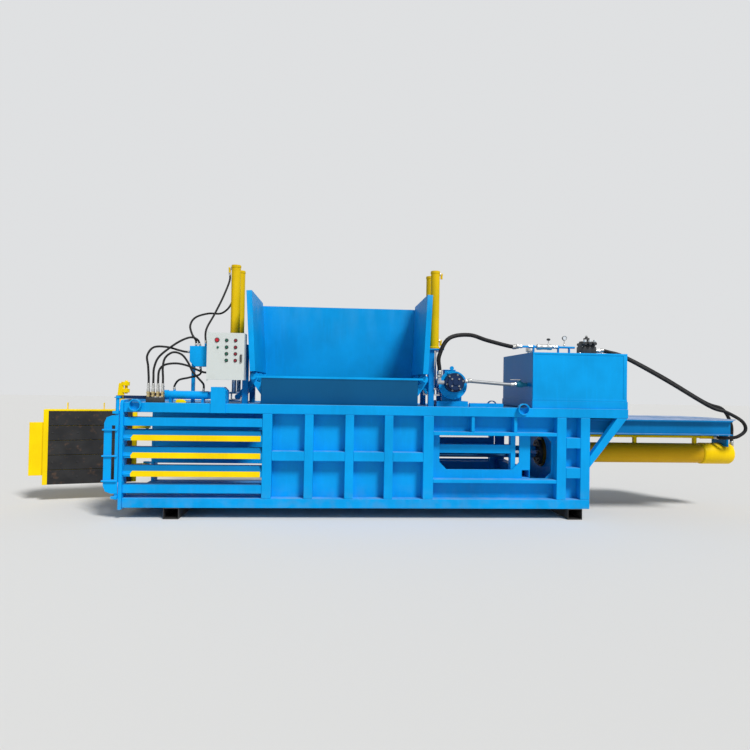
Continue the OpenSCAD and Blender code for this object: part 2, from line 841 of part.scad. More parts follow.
module cabinet() {
    color(IVORY) {
        difference() {
            box([cab_x, cab_x + cabinet_w], [cab_y + 3, cab_y + cab_d],
                [cab_z, cab_z + cabinet_h]);
            box([cab_x + 3, cab_x + cabinet_w - 3], [cab_y + 1, cab_y + cab_d - 3],
                [cab_z + 3, cab_z + cabinet_h - 3]);
        }
        for (z = [cab_z - 6, cab_z + cabinet_h + run_gap])
            box([cab_x, cab_x + 18], [cab_y - 14, cab_y + 12], [z, z + 6 - run_gap]);
        for (z = [cab_z, cab_z + cabinet_h])
            bar_z(door_pin, z - 24, z + 24, cab_x + 6, cab_y - 6);
        for (z = [cab_z - 1, cab_z + cabinet_h - 3])
            box([cab_x, cab_x + 18], [cab_y + 3, cab_y + 12], [z, z + 4]);
    }
}

// Button places on the cabinet door, by distance from its left edge and its foot
STOP_AT = [117, 468];
GREEN_AT = [[229, 466], [229, 385], [229, 307], [229, 229]];
RED_AT = [[333, 466], [333, 385], [333, 307], [333, 229]];
stem_r = 8;

module button_hole(p) {
    bar_y(stem_r + run_gap, cab_y - door_t - 1, cab_y + 1, cab_x + p[0], cab_z + p[1]);
}

module cabinet_door() {
    color(IVORY)
        difference() {
            union() {
                box([cab_x, cab_x + cabinet_w], [cab_y - door_t, cab_y],
                    [cab_z, cab_z + cabinet_h]);
                bar_y(button_r, cab_y - door_t - 8, cab_y - door_t + 1,
                    cab_x + 127, cab_z + 382);
                box([cab_x + cabinet_w - 46, cab_x + cabinet_w - 26],
                    [cab_y - door_t - 16, cab_y - door_t + 1], [cab_z + 210, cab_z + 300]);
            }
            for (z = [cab_z, cab_z + cabinet_h])
                bar_z(door_pin + run_gap, z - 26, z + 26, cab_x + 6, cab_y - 6);
            button_hole(STOP_AT);
            for (p = GREEN_AT) button_hole(p);
            for (p = RED_AT) button_hole(p);
        }
}

module button(p, cap_r) {
    face = cab_y - door_t;
    bar_y(cap_r, face - button_travel - 10, face - button_travel - 1,
        cab_x + p[0], cab_z + p[1]);
    bar_y(stem_r, face - button_travel - 2, cab_y - button_travel - 1,
        cab_x + p[0], cab_z + p[1]);
}

module stop_button() { color(RED) button(STOP_AT, button_r + 7); }
module green_button_1() { color(GREEN) button(GREEN_AT[0], button_r); }
module green_button_2() { color(GREEN) button(GREEN_AT[1], button_r); }
module green_button_3() { color(GREEN) button(GREEN_AT[2], button_r); }
module green_button_4() { color(GREEN) button(GREEN_AT[3], button_r); }
module red_button_1() { color(RED) button(RED_AT[0], button_r); }
module red_button_2() { color(RED) button(RED_AT[1], button_r); }
module red_button_3() { color(RED) button(RED_AT[2], button_r); }
module red_button_4() { color(RED) button(RED_AT[3], button_r); }

module valve_box() {
    x = [cab_x - 225, cab_x - weld];
    z = [z_top + 435, z_top + 680];
    color(BLUE) {
        plate_xz([[x[0] + 60, z[0]], [x[1], z[0]], [x[1], z[1]], [x[0], z[1]], [x[0], z[0] + 60]],
            cab_y + 100, cab_y + 250);
        box([x[0], x[0] + 40], [cab_y + 210, cab_y + 250], [deck_z, z[0] + 100]);
        bar_z(14, z[1] - 1, z[1] + 40, x[1] - 50, cab_y + 160);
    }
}

// Tank and pump set

module tank() {
    color(BLUE) {
        box([tank_x - 8, tank_x + tank_l + 8], [tank_y - 8, tank_y + tank_d + 8],
            [z_top, z_top + tank_base_h]);
        difference() {
            box([tank_x, tank_x + tank_l], [tank_y, tank_y + tank_d],
                [z_top + tank_base_h - 1, tank_top]);
            box([tank_x + 6, tank_x + tank_l - 6], [tank_y + 6, tank_y + tank_d - 6],
                [z_top + tank_base_h + 6, tank_top - 6]);
        }
    }
}

module pipe_fittings() {
    y = tank_y + 430;
    z = tank_top + 95;
    color(STEEL) {
        bar_x(14, tank_x - 40, tank_x + 700, y, z);
        bar_x(22, tank_x - 60, tank_x - 20, y, z);
        bar_x(38, tank_x + 190, tank_x + 400, y, z);
        for (x = [150, 480])
            box([tank_x + x - 8, tank_x + x + 8], [y - 30, y + 30], [tank_top, z]);
        bar_z(8, z, z + 100, tank_x + 560, y);
        bar_y(38, y - 20, y + 14, tank_x + 560, z + 130);
        bar_z(45, tank_top, tank_top + 60, tank_x + 250, y + 420);
        bar_z(60, tank_top + 59, tank_top + 110, tank_x + 250, y + 420);
        deck_fittings();
    }
}

// Four pipe unions in a block on the near rail
module deck_fittings() {
    y = -y_out + 80;
    box([at(268), at(478)], [y - 26, y + 26], [z_top, z_top + 62]);
    for (i = [0:3]) {
        x = at(290 + 55 * i);
        bar_z(14, z_top + 61, z_top + 330, x, y);
        bar_z(21, z_top + 90, z_top + 150, x, y);
        bar_z(21, z_top + 200, z_top + 275, x, y);
    }
}

module valve_stack() {
    x = tank_x + 711;
    color(BLACK) {
        box([x, x + 330], [-340, -60], [tank_top, tank_top + 20]);
        box([x + 60, x + 250], [-290, -110], [tank_top + 19, tank_top + 110]);
        for (k = [90, 155, 220]) {
            box([x + k - 26, x + k + 26], [-270, -130], [tank_top + 109, tank_top + 180]);
            bar_y(22, -330, -130, x + k, tank_top + 145);
        }
        bar_z(20, tank_top + 179, tank_top + 260, x + 155, -200);
        bar_x(18, x + 249, x + 330, -200, tank_top + 60);
        bar_x(18, x + 249, x + 330, -140, tank_top + 60);
    }
}

module motor() {
    z = motor_z;
    color(BLUE) {
        bar_y(motor_r, -350, -320, motor_x, z);
        bar_y(motor_r - 50, -321, 160, motor_x, z);
        bar_y(motor_r - 56, 159, 220, motor_x, z);
        for (y = [-260, 100])
            box([motor_x - 125, motor_x + 130], [y, y + 60], [deck_z + 70, z - 60]);
        box([motor_x - 200, motor_x + 200], [-330, 200], [deck_z, deck_z + 71]);
        box([motor_x + 225, motor_x + 655], [-330, -270], [deck_z, deck_z + 50]);
        bar_z(10, z + motor_r - 60, z + motor_r + 20, motor_x, -260);
        bar_y(26, -268, -252, motor_x, z + motor_r + 36);
    }
}

module pump() {
    z = motor_z + 30;
    color(BLACK) {
        bar_y(120, pump_y - 40, -350, motor_x, z);
        bar_y(90, pump_y - 80, pump_y - 39, motor_x, z);
        bar_x(24, motor_x + 80, motor_x + 160, pump_y, z + 20);
        bar_x(24, motor_x - 214, motor_x - 80, pump_y, z);
        bar_z(24, z, z + 80, motor_x - 190, pump_y);
    }
}

valve_x = tank_x - 90;
valve_z = motor_z + 20;

module suction_valve() {
    color(STEEL) {
        bar_x(24, tank_x - 150, tank_x, pump_y, valve_z);
        bar_x(36, tank_x - 125, tank_x - 55, pump_y, valve_z);
        bar_z(12, valve_z, valve_z + 56, valve_x, pump_y);
    }
}

module valve_lever() {
    z = valve_z + 56;
    color(STEEL) {
        bar_z(16, z + run_gap, z + 8, valve_x, pump_y);
        box([valve_x - 120, valve_x], [pump_y - 11, pump_y + 11], [z + run_gap, z + 8]);
    }
}

// A hose, swept with round rings along its points; a line from point to point is smoothed
function seg_point(p, i, t) = let (n = len(p), a = p[max(i - 1, 0)], b = p[i],
    c = p[i + 1], d = p[min(i + 2, n - 1)])
    0.5 * (2 * b + (c - a) * t + (2 * a - 5 * b + 4 * c - d) * t * t
    + (3 * b - a - 3 * c + d) * t * t * t);
function smooth(p, k) = concat([for (i = [0:len(p) - 2], j = [0:k - 1]) seg_point(p, i, j / k)],
    [p[len(p) - 1]]);
function unit(v) = v / norm(v);
function tangent(p, i) = unit(p[min(i + 1, len(p) - 1)] - p[max(i - 1, 0)]);
function side_of(t) = abs(t[2]) > 0.8 ? unit(cross([0, 1, 0], t)) : unit(cross([0, 0, 1], t));

// The ring's first direction is carried along the path so the tube does not twist
function frames(t, i, s) = i >= len(t) ? [] :
    let (u = unit(s - (s * t[i]) * t[i])) concat([u], frames(t, i + 1, u));

module hose(points, r, k) {
    sides = 8;
    p = smooth(points, k);
    n = len(p);
    m = len(points);
    t = [for (i = [0:n - 1]) i == 0 ? unit(points[1] - points[0])
        : i == n - 1 ? unit(points[m - 1] - points[m - 2]) : tangent(p, i)];
    u = frames(t, 0, side_of(t[0]));
    rings = [for (i = [0:n - 1], a = [0:sides - 1])
        p[i] + r * (u[i] * cos(a * 360 / sides) + cross(t[i], u[i]) * sin(a * 360 / sides))];
    caps = [[for (a = [0:sides - 1]) a],
        [for (a = [sides - 1:-1:0]) (n - 1) * sides + a]];
    walls = [for (i = [0:n - 2], a = [0:sides - 1])
        [i * sides + a, (i + 1) * sides + a,
        (i + 1) * sides + (a + 1) % sides, i * sides + (a + 1) % sides]];
    color(BLACK) polyhedron(rings, concat(caps, walls));
}

pump_z = motor_z + 30;
stack_z = tank_top + 60;
stack_x = tank_x + 1041;
line_y = tank_y + 430;

module hose_pressure() {
    hose([[motor_x - 190, pump_y, pump_z + 80], [motor_x - 190, pump_y, pump_z + 170],
        [motor_x - 200, pump_y - 25, pump_z + 330], [motor_x - 80, pump_y - 20, pump_z + 550],
        [motor_x + 190, pump_y + 60, pump_z + 607], [motor_x + 450, pump_y + 150, pump_z + 550],
        [tank_x - 160, line_y, tank_top + 95], [tank_x - 60, line_y, tank_top + 95]], 26, 2);
}

module hose_suction() {
    hose([[motor_x + 160, pump_y, pump_z + 20], [motor_x + 230, pump_y, pump_z + 20],
        [tank_x - 260, pump_y, valve_z], [tank_x - 150, pump_y, valve_z]], 22, 2);
}

module hose_cap_feed() {
    hose([[stack_x, -140, stack_z], [stack_x + 90, -140, stack_z],
        [stack_x + 360, -140, stack_z - 60], [stack_x + 900, -130, stack_z - 320],
        [stack_x + 1500, -110, stack_z - 650], [barrel_end - 150, -60, axis_z + 600],
        [barrel_end + 10, 0, axis_z + 400], [barrel_end + 20, 0, axis_z + 230],
        [barrel_end + 20, 0, axis_z + 110]], 22, 2);
}

module hose_rod_feed() {
    x = cap_x + 190;
    back = x_end + 2140;
    hose([[stack_x, -200, stack_z], [stack_x + 90, -200, stack_z],
        [stack_x + 360, -205, stack_z - 90], [stack_x + 900, -215, stack_z - 370],
        [stack_x + 1480, -240, stack_z - 700], [back - 120, -280, axis_z + 570],
        [back + 90, -290, axis_z + 455], [back + 140, -290, axis_z + 340],
        [back + 45, -280, pipe_z + 30], [x + 60, -230, pipe_z + 5],
        [x, -140, pipe_z], [x, -60, pipe_z]], 22, 2);
}

module hose_press() {
    port = left_press_x - press_r - 24;
    hose([[port, -press_y, press_top - 100], [port, -press_y, press_top - 200],
        [port - 60, -press_y - 90, press_top - 420], [port - 150, -330, press_top - 640],
        [cab_x - 50, cab_y + 160, z_top + 880], [cab_x - 50, cab_y + 160, z_top + 720]], 12, 2);
}

module hose_lock() {
    y = lock_y + lock_crank_r;
    hose([[at(560), y, lock_z + 62], [at(560), y, lock_z + 110], [at(620), y - 40, z_top + 270],
        [at(740), y - 60, z_top + 300], [cab_x - 110, cab_y + 160, z_top + 345],
        [cab_x - 110, cab_y + 160, z_top + 435 - weld]], 12, 2);
}

skids();
rails();
end_frame();
side_posts();
side_ribs();
bale_bars();
strap_strips();
side_walls();
chamber_plates();
deck_plates();
cross_beams();
cylinder_mount();
rear_platform();
lifting_rings();
hopper();
flap_brackets();
press_stands();
press_barrels();
left_flap();
right_flap();
left_press_rods();
right_press_rods();
ram();
main_rod();
main_barrel();
main_gland();
oil_pipe();
lock_frame();
lock_brackets();
lock_cylinder();
lock_rod();
door_frame();
door_liners();
door_fittings();
door_hinges();
cabinet();
cabinet_door();
stop_button();
green_button_1();
green_button_2();
green_button_3();
green_button_4();
red_button_1();
red_button_2();
red_button_3();
red_button_4();
valve_box();
tank();
pipe_fittings();
valve_stack();
motor();
pump();
suction_valve();
valve_lever();
hose_pressure();
hose_suction();
hose_cap_feed();
hose_rod_feed();
hose_press();
hose_lock();
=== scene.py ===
import json
from math import cos, pi, radians, sin

import bmesh
import bpy
from mathutils import Matrix, Vector


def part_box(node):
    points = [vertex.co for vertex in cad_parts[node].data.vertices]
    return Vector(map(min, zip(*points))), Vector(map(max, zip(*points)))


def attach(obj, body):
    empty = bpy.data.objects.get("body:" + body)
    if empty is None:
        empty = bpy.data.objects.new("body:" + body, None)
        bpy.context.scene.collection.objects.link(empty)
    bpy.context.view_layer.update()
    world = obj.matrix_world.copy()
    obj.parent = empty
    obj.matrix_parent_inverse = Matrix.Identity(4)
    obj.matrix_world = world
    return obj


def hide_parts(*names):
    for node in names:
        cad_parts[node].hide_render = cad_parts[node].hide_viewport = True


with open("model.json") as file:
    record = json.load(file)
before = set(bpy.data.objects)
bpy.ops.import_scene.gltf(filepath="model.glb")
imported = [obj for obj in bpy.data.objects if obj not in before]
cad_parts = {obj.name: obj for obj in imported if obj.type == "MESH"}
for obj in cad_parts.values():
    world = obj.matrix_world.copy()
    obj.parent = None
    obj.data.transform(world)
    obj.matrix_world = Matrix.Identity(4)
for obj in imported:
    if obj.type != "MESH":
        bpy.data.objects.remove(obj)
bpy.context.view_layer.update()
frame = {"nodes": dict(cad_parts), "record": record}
nodes = frame["nodes"]
bodyOf = {n: b for b, names in frame["record"]["behaviour"]["bodies"].items() for n in names}
print("frame loaded,", len(nodes), "nodes")


# Camera, floor and light

viewSettings = {
    "eye": (1.855, -7.843, 1.585),   # metres, from the middle of the front skid
    "yaw": 3.974, "pitch": 1.064, "roll": 0.961,   # degrees
    "lens": 28.8, "sensor": 36, "farthest": 200,
}
stageSettings = {
    "floorSize": 60, "floorColour": (0.70, 0.69, 0.67), "floorRough": 0.9,
    "skyColour": (0.80, 0.85, 0.90), "skyPower": 0.34, "backdrop": (0.74, 0.75, 0.76),
    "keyFrom": (8, -9, 13), "keyAt": (2.5, 0, 1), "keyPower": 3.1, "keyAngle": 14,
    "fillFrom": (-5, -9, 5), "fillAt": (1, 0, 1), "fillPower": 50, "fillSize": (5, 5),
}


def setCamera(s):
    yaw, pitch, roll = (radians(s[k]) for k in ("yaw", "pitch", "roll"))
    ahead = Vector((sin(yaw) * cos(pitch), cos(yaw) * cos(pitch), sin(pitch)))
    side = Vector((cos(yaw), -sin(yaw), 0))
    up = side.cross(ahead)
    side, up = side * cos(roll) + up * sin(roll), up * cos(roll) - side * sin(roll)
    camera = bpy.data.objects.new("camera", bpy.data.cameras.new("camera"))
    camera.data.lens = s["lens"]
    camera.data.sensor_width = s["sensor"]
    camera.data.clip_end = s["farthest"]
    turn = Matrix((side, up, -ahead)).transposed().to_4x4()
    camera.matrix_world = Matrix.Translation(s["eye"]) @ turn
    bpy.context.collection.objects.link(camera)
    bpy.context.scene.camera = camera


def setFloor(s):
    bm = bmesh.new()
    bmesh.ops.create_grid(bm, x_segments=1, y_segments=1, size=s["floorSize"])
    mesh = bpy.data.meshes.new("floor")
    bm.to_mesh(mesh)
    bm.free()
    floor = bpy.data.objects.new("floor", mesh)
    bpy.context.collection.objects.link(floor)
    mat = bpy.data.materials.new("floorPale")
    mat.use_nodes = True
    shader = mat.node_tree.nodes["Principled BSDF"]
    shader.inputs["Base Color"].default_value = (*s["floorColour"], 1)
    shader.inputs["Roughness"].default_value = s["floorRough"]
    mesh.materials.append(mat)


def setSky(s):
    world = bpy.data.worlds.new("sky")
    bpy.context.scene.world = world
    world.use_nodes = True
    tree = world.node_tree
    sky = tree.nodes["Background"]
    sky.inputs["Color"].default_value = (*s["skyColour"], 1)
    sky.inputs["Strength"].default_value = s["skyPower"]
    # the camera, metal and glass see a pale backdrop, and the light comes from the sky
    seen = tree.nodes.new("ShaderNodeBackground")
    seen.inputs["Color"].default_value = (*s["backdrop"], 1)
    ray = tree.nodes.new("ShaderNodeLightPath")
    pick = tree.nodes.new("ShaderNodeMixShader")
    known = ray.outputs["Is Camera Ray"]
    for kind in ("Is Glossy Ray", "Is Transmission Ray"):
        either = tree.nodes.new("ShaderNodeMath")
        either.operation = "MAXIMUM"
        tree.links.new(known, either.inputs[0])
        tree.links.new(ray.outputs[kind], either.inputs[1])
        known = either.outputs[0]
    for socket, source in enumerate((known, sky.outputs[0], seen.outputs[0])):
        tree.links.new(source, pick.inputs[socket])
    tree.links.new(pick.outputs[0], tree.nodes["World Output"].inputs[0])


def addLamp(name, kind, place, target, power):
    lamp = bpy.data.objects.new(name, bpy.data.lights.new(name, kind))
    lamp.data.energy = power
    lamp.location = place
    lamp.rotation_euler = (Vector(target) - Vector(place)).to_track_quat("-Z", "Y").to_euler()
    bpy.context.collection.objects.link(lamp)
    return lamp.data


def setLamps(s):
    key = addLamp("key", "SUN", s["keyFrom"], s["keyAt"], s["keyPower"])
    key.angle = radians(s["keyAngle"])
    fill = addLamp("fill", "AREA", s["fillFrom"], s["fillAt"], s["fillPower"])
    fill.shape = "RECTANGLE"
    fill.size, fill.size_y = s["fillSize"]


setCamera(viewSettings)
setFloor(stageSettings)
setSky(stageSettings)
setLamps(stageSettings)
bpy.context.scene.view_settings.view_transform = "Standard"
print("camera and stage set")


# Shader maths

class Signal:
    # one output socket; arithmetic on it adds Math nodes to its tree
    def __init__(self, finish, socket):
        self.finish, self.socket = finish, socket

    def math(self, operation, a, b):
        return self.finish.add("ShaderNodeMath", {"operation": operation}, {0: a, 1: b})

    def __add__(self, o): return self.math("ADD", self, o)
    def __radd__(self, o): return self.math("ADD", o, self)
    def __sub__(self, o): return self.math("SUBTRACT", self, o)
    def __rsub__(self, o): return self.math("SUBTRACT", o, self)
    def __mul__(self, o): return self.math("MULTIPLY", self, o)
    def __rmul__(self, o): return self.math("MULTIPLY", o, self)


class Finish:
    # one material and the tree behind it; sizes are in metres
    def __init__(self, name):
        self.mat = bpy.data.materials.new(name)
        self.mat.use_nodes = True
        self.tree = self.mat.node_tree
        self.shader = self.tree.nodes["Principled BSDF"]

    def feed(self, target, value):
        if isinstance(value, Signal):
            self.tree.links.new(value.socket, target)
        else:
            target.default_value = (*value, 1) if target.type == "RGBA" else value

    def set(self, socket, value):
        self.feed(self.shader.inputs[socket], value)

    def add(self, kind, settings=None, inputs=None, output=0):
        node = self.tree.nodes.new(kind)
        for k, v in (settings or {}).items():
            setattr(node, k, v)
        for k, v in (inputs or {}).items():
            self.feed(node.inputs[k], v)
        return Signal(self, node.outputs[output])

    def coordinates(self):
        # output 3 is Object
        return self.add("ShaderNodeTexCoord", output=3)

    def noise(self, size, detail, stretch=(1, 1, 1)):
        place = self.add("ShaderNodeMapping", None,
                         {"Vector": self.coordinates(), "Scale": stretch})
        return self.add("ShaderNodeTexNoise", None,
                        {"Vector": place, "Scale": 1 / size, "Detail": detail})

    def mask(self, signal, low, high):
        return self.add("ShaderNodeMapRange", {"clamp": True},
                        {"Value": signal, "From Min": low, "From Max": high})

    def mix(self, share, a, b):
        # 6 and 7 are the colour inputs of a Mix node, and output 2 its colour
        return self.add("ShaderNodeMix", {"data_type": "RGBA"}, {0: share, 6: a, 7: b}, 2)

    def part(self, source, which):
        return self.add("ShaderNodeSeparateXYZ", None, {0: source}, which)

    def facing(self):
        # how far the surface looks up, from output 1, Normal
        return self.part(self.add("ShaderNodeNewGeometry", output=1), 2)

    def along(self, which):
        return self.part(self.coordinates(), which)

    def height(self):
        return self.along(2)

    def bump(self, height, strength, distance):
        self.set("Normal", self.add("ShaderNodeBump", None,
                                    {"Strength": strength, "Distance": distance, "Height": height}))


def shade(colour, factor):
    return tuple(min(1, c * factor) for c in colour)


paintSettings = {
    "blue": (0.0, 0.335, 0.77), "deck": (0.0, 0.235, 0.60), "yellow": (0.97, 0.66, 0.0),
    "pump": (0.012, 0.03, 0.085), "soil": (0.30, 0.235, 0.165), "dustAndSheen": (0.33, 0.42, 0.50),
    # the size of each noise in metres, and the span of it that shows
    "patch": 0.45, "patchSpan": (0.35, 0.7), "dark": 0.88, "light": 1.08,
    "streak": 0.035, "streakSpan": (0.5, 0.8), "streakShare": 0.35, "streakLight": 1.16,
    "speck": 0.16, "speckSpan": (0.34, 0.74), "speckShare": 0.7, "dustAndSheenLeast": 0.2,
    "levelSpan": (0.75, 0.98),   # dust lies where the surface looks up; on the platform the same mix is also a painted sky reflection
    "washSpan": (0.4, 0.7), "washShare": 0.55,
    "splash": 0.12, "splashSpan": (0.44, 0.66), "splashHeights": (0.42, 0.12), "splashShare": 0.12,
    "rough": 0.4, "patchRough": 0.12, "dustRough": 0.35, "soilRough": 0.4, "specular": 0.12,
    "peel": 0.004, "peelUp": 0.25, "streakUp": 0.5, "patchUp": 0.8, "bump": (0.35, 0.0012),
}


def makePaint(name, colour, dustAndSheenShare=0.5, dustFrom=None, dustAndSheenTone=paintSettings["dustAndSheen"], paintedShadeAndMetalBands=()):
    s = paintSettings
    f = Finish(name)
    patches = f.noise(s["patch"], 4)
    streaks = f.noise(s["streak"], 3, (1, 1, 0.12))
    tone = f.mix(f.mask(patches, *s["patchSpan"]), shade(colour, s["dark"]),
                 shade(colour, s["light"]))
    tone = f.mix(f.mask(streaks, *s["streakSpan"]) * s["streakShare"], tone,
                 shade(colour, s["streakLight"]))
    top = f.mask(f.facing(), *s["levelSpan"])
    specks = f.mask(f.noise(s["speck"], 7), *s["speckSpan"])
    # dust on upward faces, which on the platform is also a painted sky reflection
    dustAndSheen = top * (specks * s["speckShare"] + s["dustAndSheenLeast"]) * dustAndSheenShare
    if dustFrom:
        # dust washed down from a height
        washed = f.mask(f.noise(s["speck"], 5, (1, 1, 0.3)), *s["washSpan"])
        dustAndSheen = dustAndSheen + f.mask(f.height(), *dustFrom) * washed * s["washShare"]
    tone = f.mix(dustAndSheen, tone, dustAndSheenTone)
    # painted shade in bands, and on the pump the bare metal of its ports
    for which, low, high, share, deep in paintedShadeAndMetalBands:
        place = f.facing() if which == "slope" else f.along(which)
        tone = f.mix(f.mask(place, low, high) * share, tone, deep)
    foot = f.mask(f.height(), *s["splashHeights"])
    soil = foot * f.mask(f.noise(s["splash"], 6), *s["splashSpan"]) * s["splashShare"]
    f.set("Base Color", f.mix(soil, tone, s["soil"]))
    f.set("Roughness", patches * s["patchRough"] + dustAndSheen * s["dustRough"]
          + soil * s["soilRough"] + s["rough"])
    f.set("Specular IOR Level", s["specular"])
    f.bump(f.noise(s["peel"], 2) * s["peelUp"] + streaks * s["streakUp"]
           + patches * s["patchUp"], *s["bump"])
    return f.mat


linerSettings = {
    "patch": (0.22, 6), "patchSpan": (0.4, 0.7),
    "colours": ((0.012, 0.012, 0.013), (0.027, 0.026, 0.026)),
    "rust": (0.07, 8), "rustSpan": (0.6, 0.72), "rustShare": 0.55,
    "rustColour": (0.11, 0.06, 0.035),
    "grain": (0.012, 4, (1, 1, 3)), "rough": 0.5, "roughMore": 0.2, "specular": 0.3,
    "bump": (0.5, 0.0015),
}


def makeLinerSteel(s):
    f = Finish("linerSteel")
    patches, grain = f.noise(*s["patch"]), f.noise(*s["grain"])
    tone = f.mix(f.mask(patches, *s["patchSpan"]), *s["colours"])
    rust = f.mask(f.noise(*s["rust"]), *s["rustSpan"]) * s["rustShare"]
    f.set("Base Color", f.mix(rust, tone, s["rustColour"]))
    f.set("Roughness", grain * s["roughMore"] + s["rough"])
    f.set("Specular IOR Level", s["specular"])
    f.bump(grain + patches, *s["bump"])
    return f.mat


# finishes of one noise, given by its size and detail: the span of it that shows mixes
# two colours, and it adds to the roughness; bumpNoise is a finer noise for the bump
grainSettings = {
    "blackPaint": {
        "noise": (0.02, 4), "span": (0.35, 0.75), "colours": ((0.018,) * 3, (0.0396,) * 3),
        "rough": 0.45, "roughMore": 0.2, "bump": (0.3, 0.0008)},
    "ivoryCoat": {
        "noise": (0.14, 5), "span": (0.5, 0.75), "share": 0.35,
        "colours": ((0.60, 0.64, 0.62), (0.50, 0.52, 0.47)),
        "rough": 0.32, "roughMore": 0.15, "bump": (0.2, 0.0004), "bumpNoise": (0.003, 2)},
    "hoseRubber": {
        "noise": (0.05, 5), "span": (0.4, 0.75),
        "colours": ((0.007, 0.007, 0.008), (0.024, 0.023, 0.022)), "rough": 0.48,
        "roughMore": 0.25, "specular": 0.25, "bump": (0.25, 0.0006), "bumpNoise": (0.006, 2)},
    "steel": {
        "detail": 4, "span": (0.3, 0.7), "share": 0.5, "dark": 0.72,
        "roughMore": 0.18, "metallic": 1.0, "bump": (0.2, 0.0004)},
    "plastic": {
        "noise": (0.02, 3), "span": (0.4, 0.8), "share": 0.4, "dark": 0.6,
        "rough": 0.25, "roughMore": 0.1},
}


def makeGrained(name, s):
    f = Finish(name)
    grain = f.noise(*s["noise"])
    f.set("Metallic", s.get("metallic", 0))
    f.set("Base Color", f.mix(f.mask(grain, *s["span"]) * s.get("share", 1), *s["colours"]))
    f.set("Roughness", grain * s["roughMore"] + s["rough"])
    f.set("Specular IOR Level", s.get("specular", 0.5))
    if "bump" in s:
        f.bump(f.noise(*s["bumpNoise"]) if "bumpNoise" in s else grain, *s["bump"])
    return f.mat


def makeSteel(name, colour, rough, fine):
    s = grainSettings["steel"]
    return makeGrained(name, {**s, "noise": (fine, s["detail"]), "rough": rough,
                              "colours": (colour, shade(colour, s["dark"]))})


def makePlastic(name, colour, rough=grainSettings["plastic"]["rough"]):
    s = grainSettings["plastic"]
    return makeGrained(name, {**s, "rough": rough, "colours": (colour, shade(colour, s["dark"]))})


blue, pumpBlack, portSteel = paintSettings["blue"], paintSettings["pump"], (0.42, 0.43, 0.44)
bluePaint = makePaint("bluePaint", blue)
deckPaint = makePaint("deckPaint", paintSettings["deck"], dustAndSheenShare=0.8)
flapPaint = makePaint("flapPaint", blue, dustFrom=(2.2, 2.75), dustAndSheenTone=(0.14, 0.38, 0.62))
# painted reflection: the pale lilac tone on the platform's upward faces stands for the sky
# reflected in it, mixed with real dust specks
platformPaint = makePaint("platformPaint", (0.0, 0.18, 0.45), dustAndSheenShare=1.1,
                          dustAndSheenTone=(0.55, 0.57, 0.68))
# painted shade: the press cylinders' yellow is a darker mustard copy of the yellow paint
pressPaint = makePaint("pressPaint", (0.74, 0.49, 0.004), dustAndSheenShare=0.15)
yellowPaint = makePaint("yellowPaint", paintSettings["yellow"], dustAndSheenShare=0.25)
pumpPaint = makePaint("pumpPaint", pumpBlack, dustAndSheenShare=0.3)
valvePaint = makePaint("valvePaint", (0.02, 0.22, 0.34), dustAndSheenShare=0.2)
# each band is an axis or the slope, where it starts, where it is full, its share and colour; on the
# tank, hopper, bars and barrel the bands are painted shade
# painted shade: the tank's left end face is darkened to deep blue
tankPaint = makePaint("tankPaint", blue, dustAndSheenShare=0.3, dustAndSheenTone=(0.10, 0.16, 0.21),
                      paintedShadeAndMetalBands=[(0, 4.293, 4.2905, 0.7, (0.0, 0.09, 0.27))])
# painted shadow: the hopper below 1.655 m, the throat under the lip, is darkened to deep blue
hopperPaint = makePaint("hopperPaint", blue, dustFrom=(2.1, 3.2), dustAndSheenTone=(0.06, 0.42, 0.80),
                        paintedShadeAndMetalBands=[(2, 1.666, 1.655, 0.85, (0.004, 0.055, 0.14))])
# painted shadow: the bale bars' faces that look up, the slopes above the yellow strips among them,
# are darkened to deep blue
barPaint = makePaint("barPaint", blue, paintedShadeAndMetalBands=[("slope", 0.25, 0.5, 0.62, (0.004, 0.07, 0.17))])
# painted shade: the main barrel behind its cap, below x 6.84 m, is a darker orange, and its front
# end in the body's window, below x 4.75 m, is near black
barrelPaint = makePaint("barrelPaint", (0.96, 0.62, 0.0), dustAndSheenShare=0.15, paintedShadeAndMetalBands=[
    (0, 6.842, 6.838, 0.6, (0.55, 0.26, 0.008)), (0, 4.95, 4.75, 0.85, (0.02, 0.018, 0.015))])
# the ports at both sides of the pump are bare metal
pumpBody = makePaint("pumpBody", pumpBlack, dustAndSheenShare=0.3, paintedShadeAndMetalBands=[
    (0, 3.238, 3.232, 0.9, portSteel), (0, 3.492, 3.498, 0.9, portSteel)])
linerSteel = makeLinerSteel(linerSettings)
blackPaint = makeGrained("blackPaint", grainSettings["blackPaint"])
ivoryCoat = makeGrained("ivoryCoat", grainSettings["ivoryCoat"])
blackRubber = makeGrained("hoseRubber", grainSettings["hoseRubber"])
braidedSteel = makeSteel("braidedSteel", (0.30, 0.31, 0.32), 0.5, 0.006)
brass = makeSteel("brass", (0.52, 0.42, 0.22), 0.35, 0.010)
galvanised = makeSteel("galvanised", (0.58, 0.58, 0.56), 0.32, 0.015)
chromeRod = makeSteel("chromeRod", (0.68, 0.69, 0.70), 0.12, 0.006)
greenPlastic = makePlastic("greenPlastic", (0.004, 0.105, 0.062))
redPlastic = makePlastic("redPlastic", (0.26, 0.004, 0.022))
stopPlastic = makePlastic("stopPlastic", (0.50, 0.006, 0.022))
whitePlastic = makePlastic("whitePlastic", (0.75, 0.75, 0.72))
dialFace = makePlastic("dialFace", (0.8, 0.8, 0.78), 0.15)
print("materials made")


# Solids built with bmesh operators, gathered in one mesh a piece

alongX, alongY, alongZ = (1, 0, 0), (0, 1, 0), (0, 0, 1)
towards, down, leftwards = (0, -1, 0), (0, 0, -1), (-1, 0, 0)   # towards the camera's side
sharpAngle = radians(35)
mergeGap = 1e-6


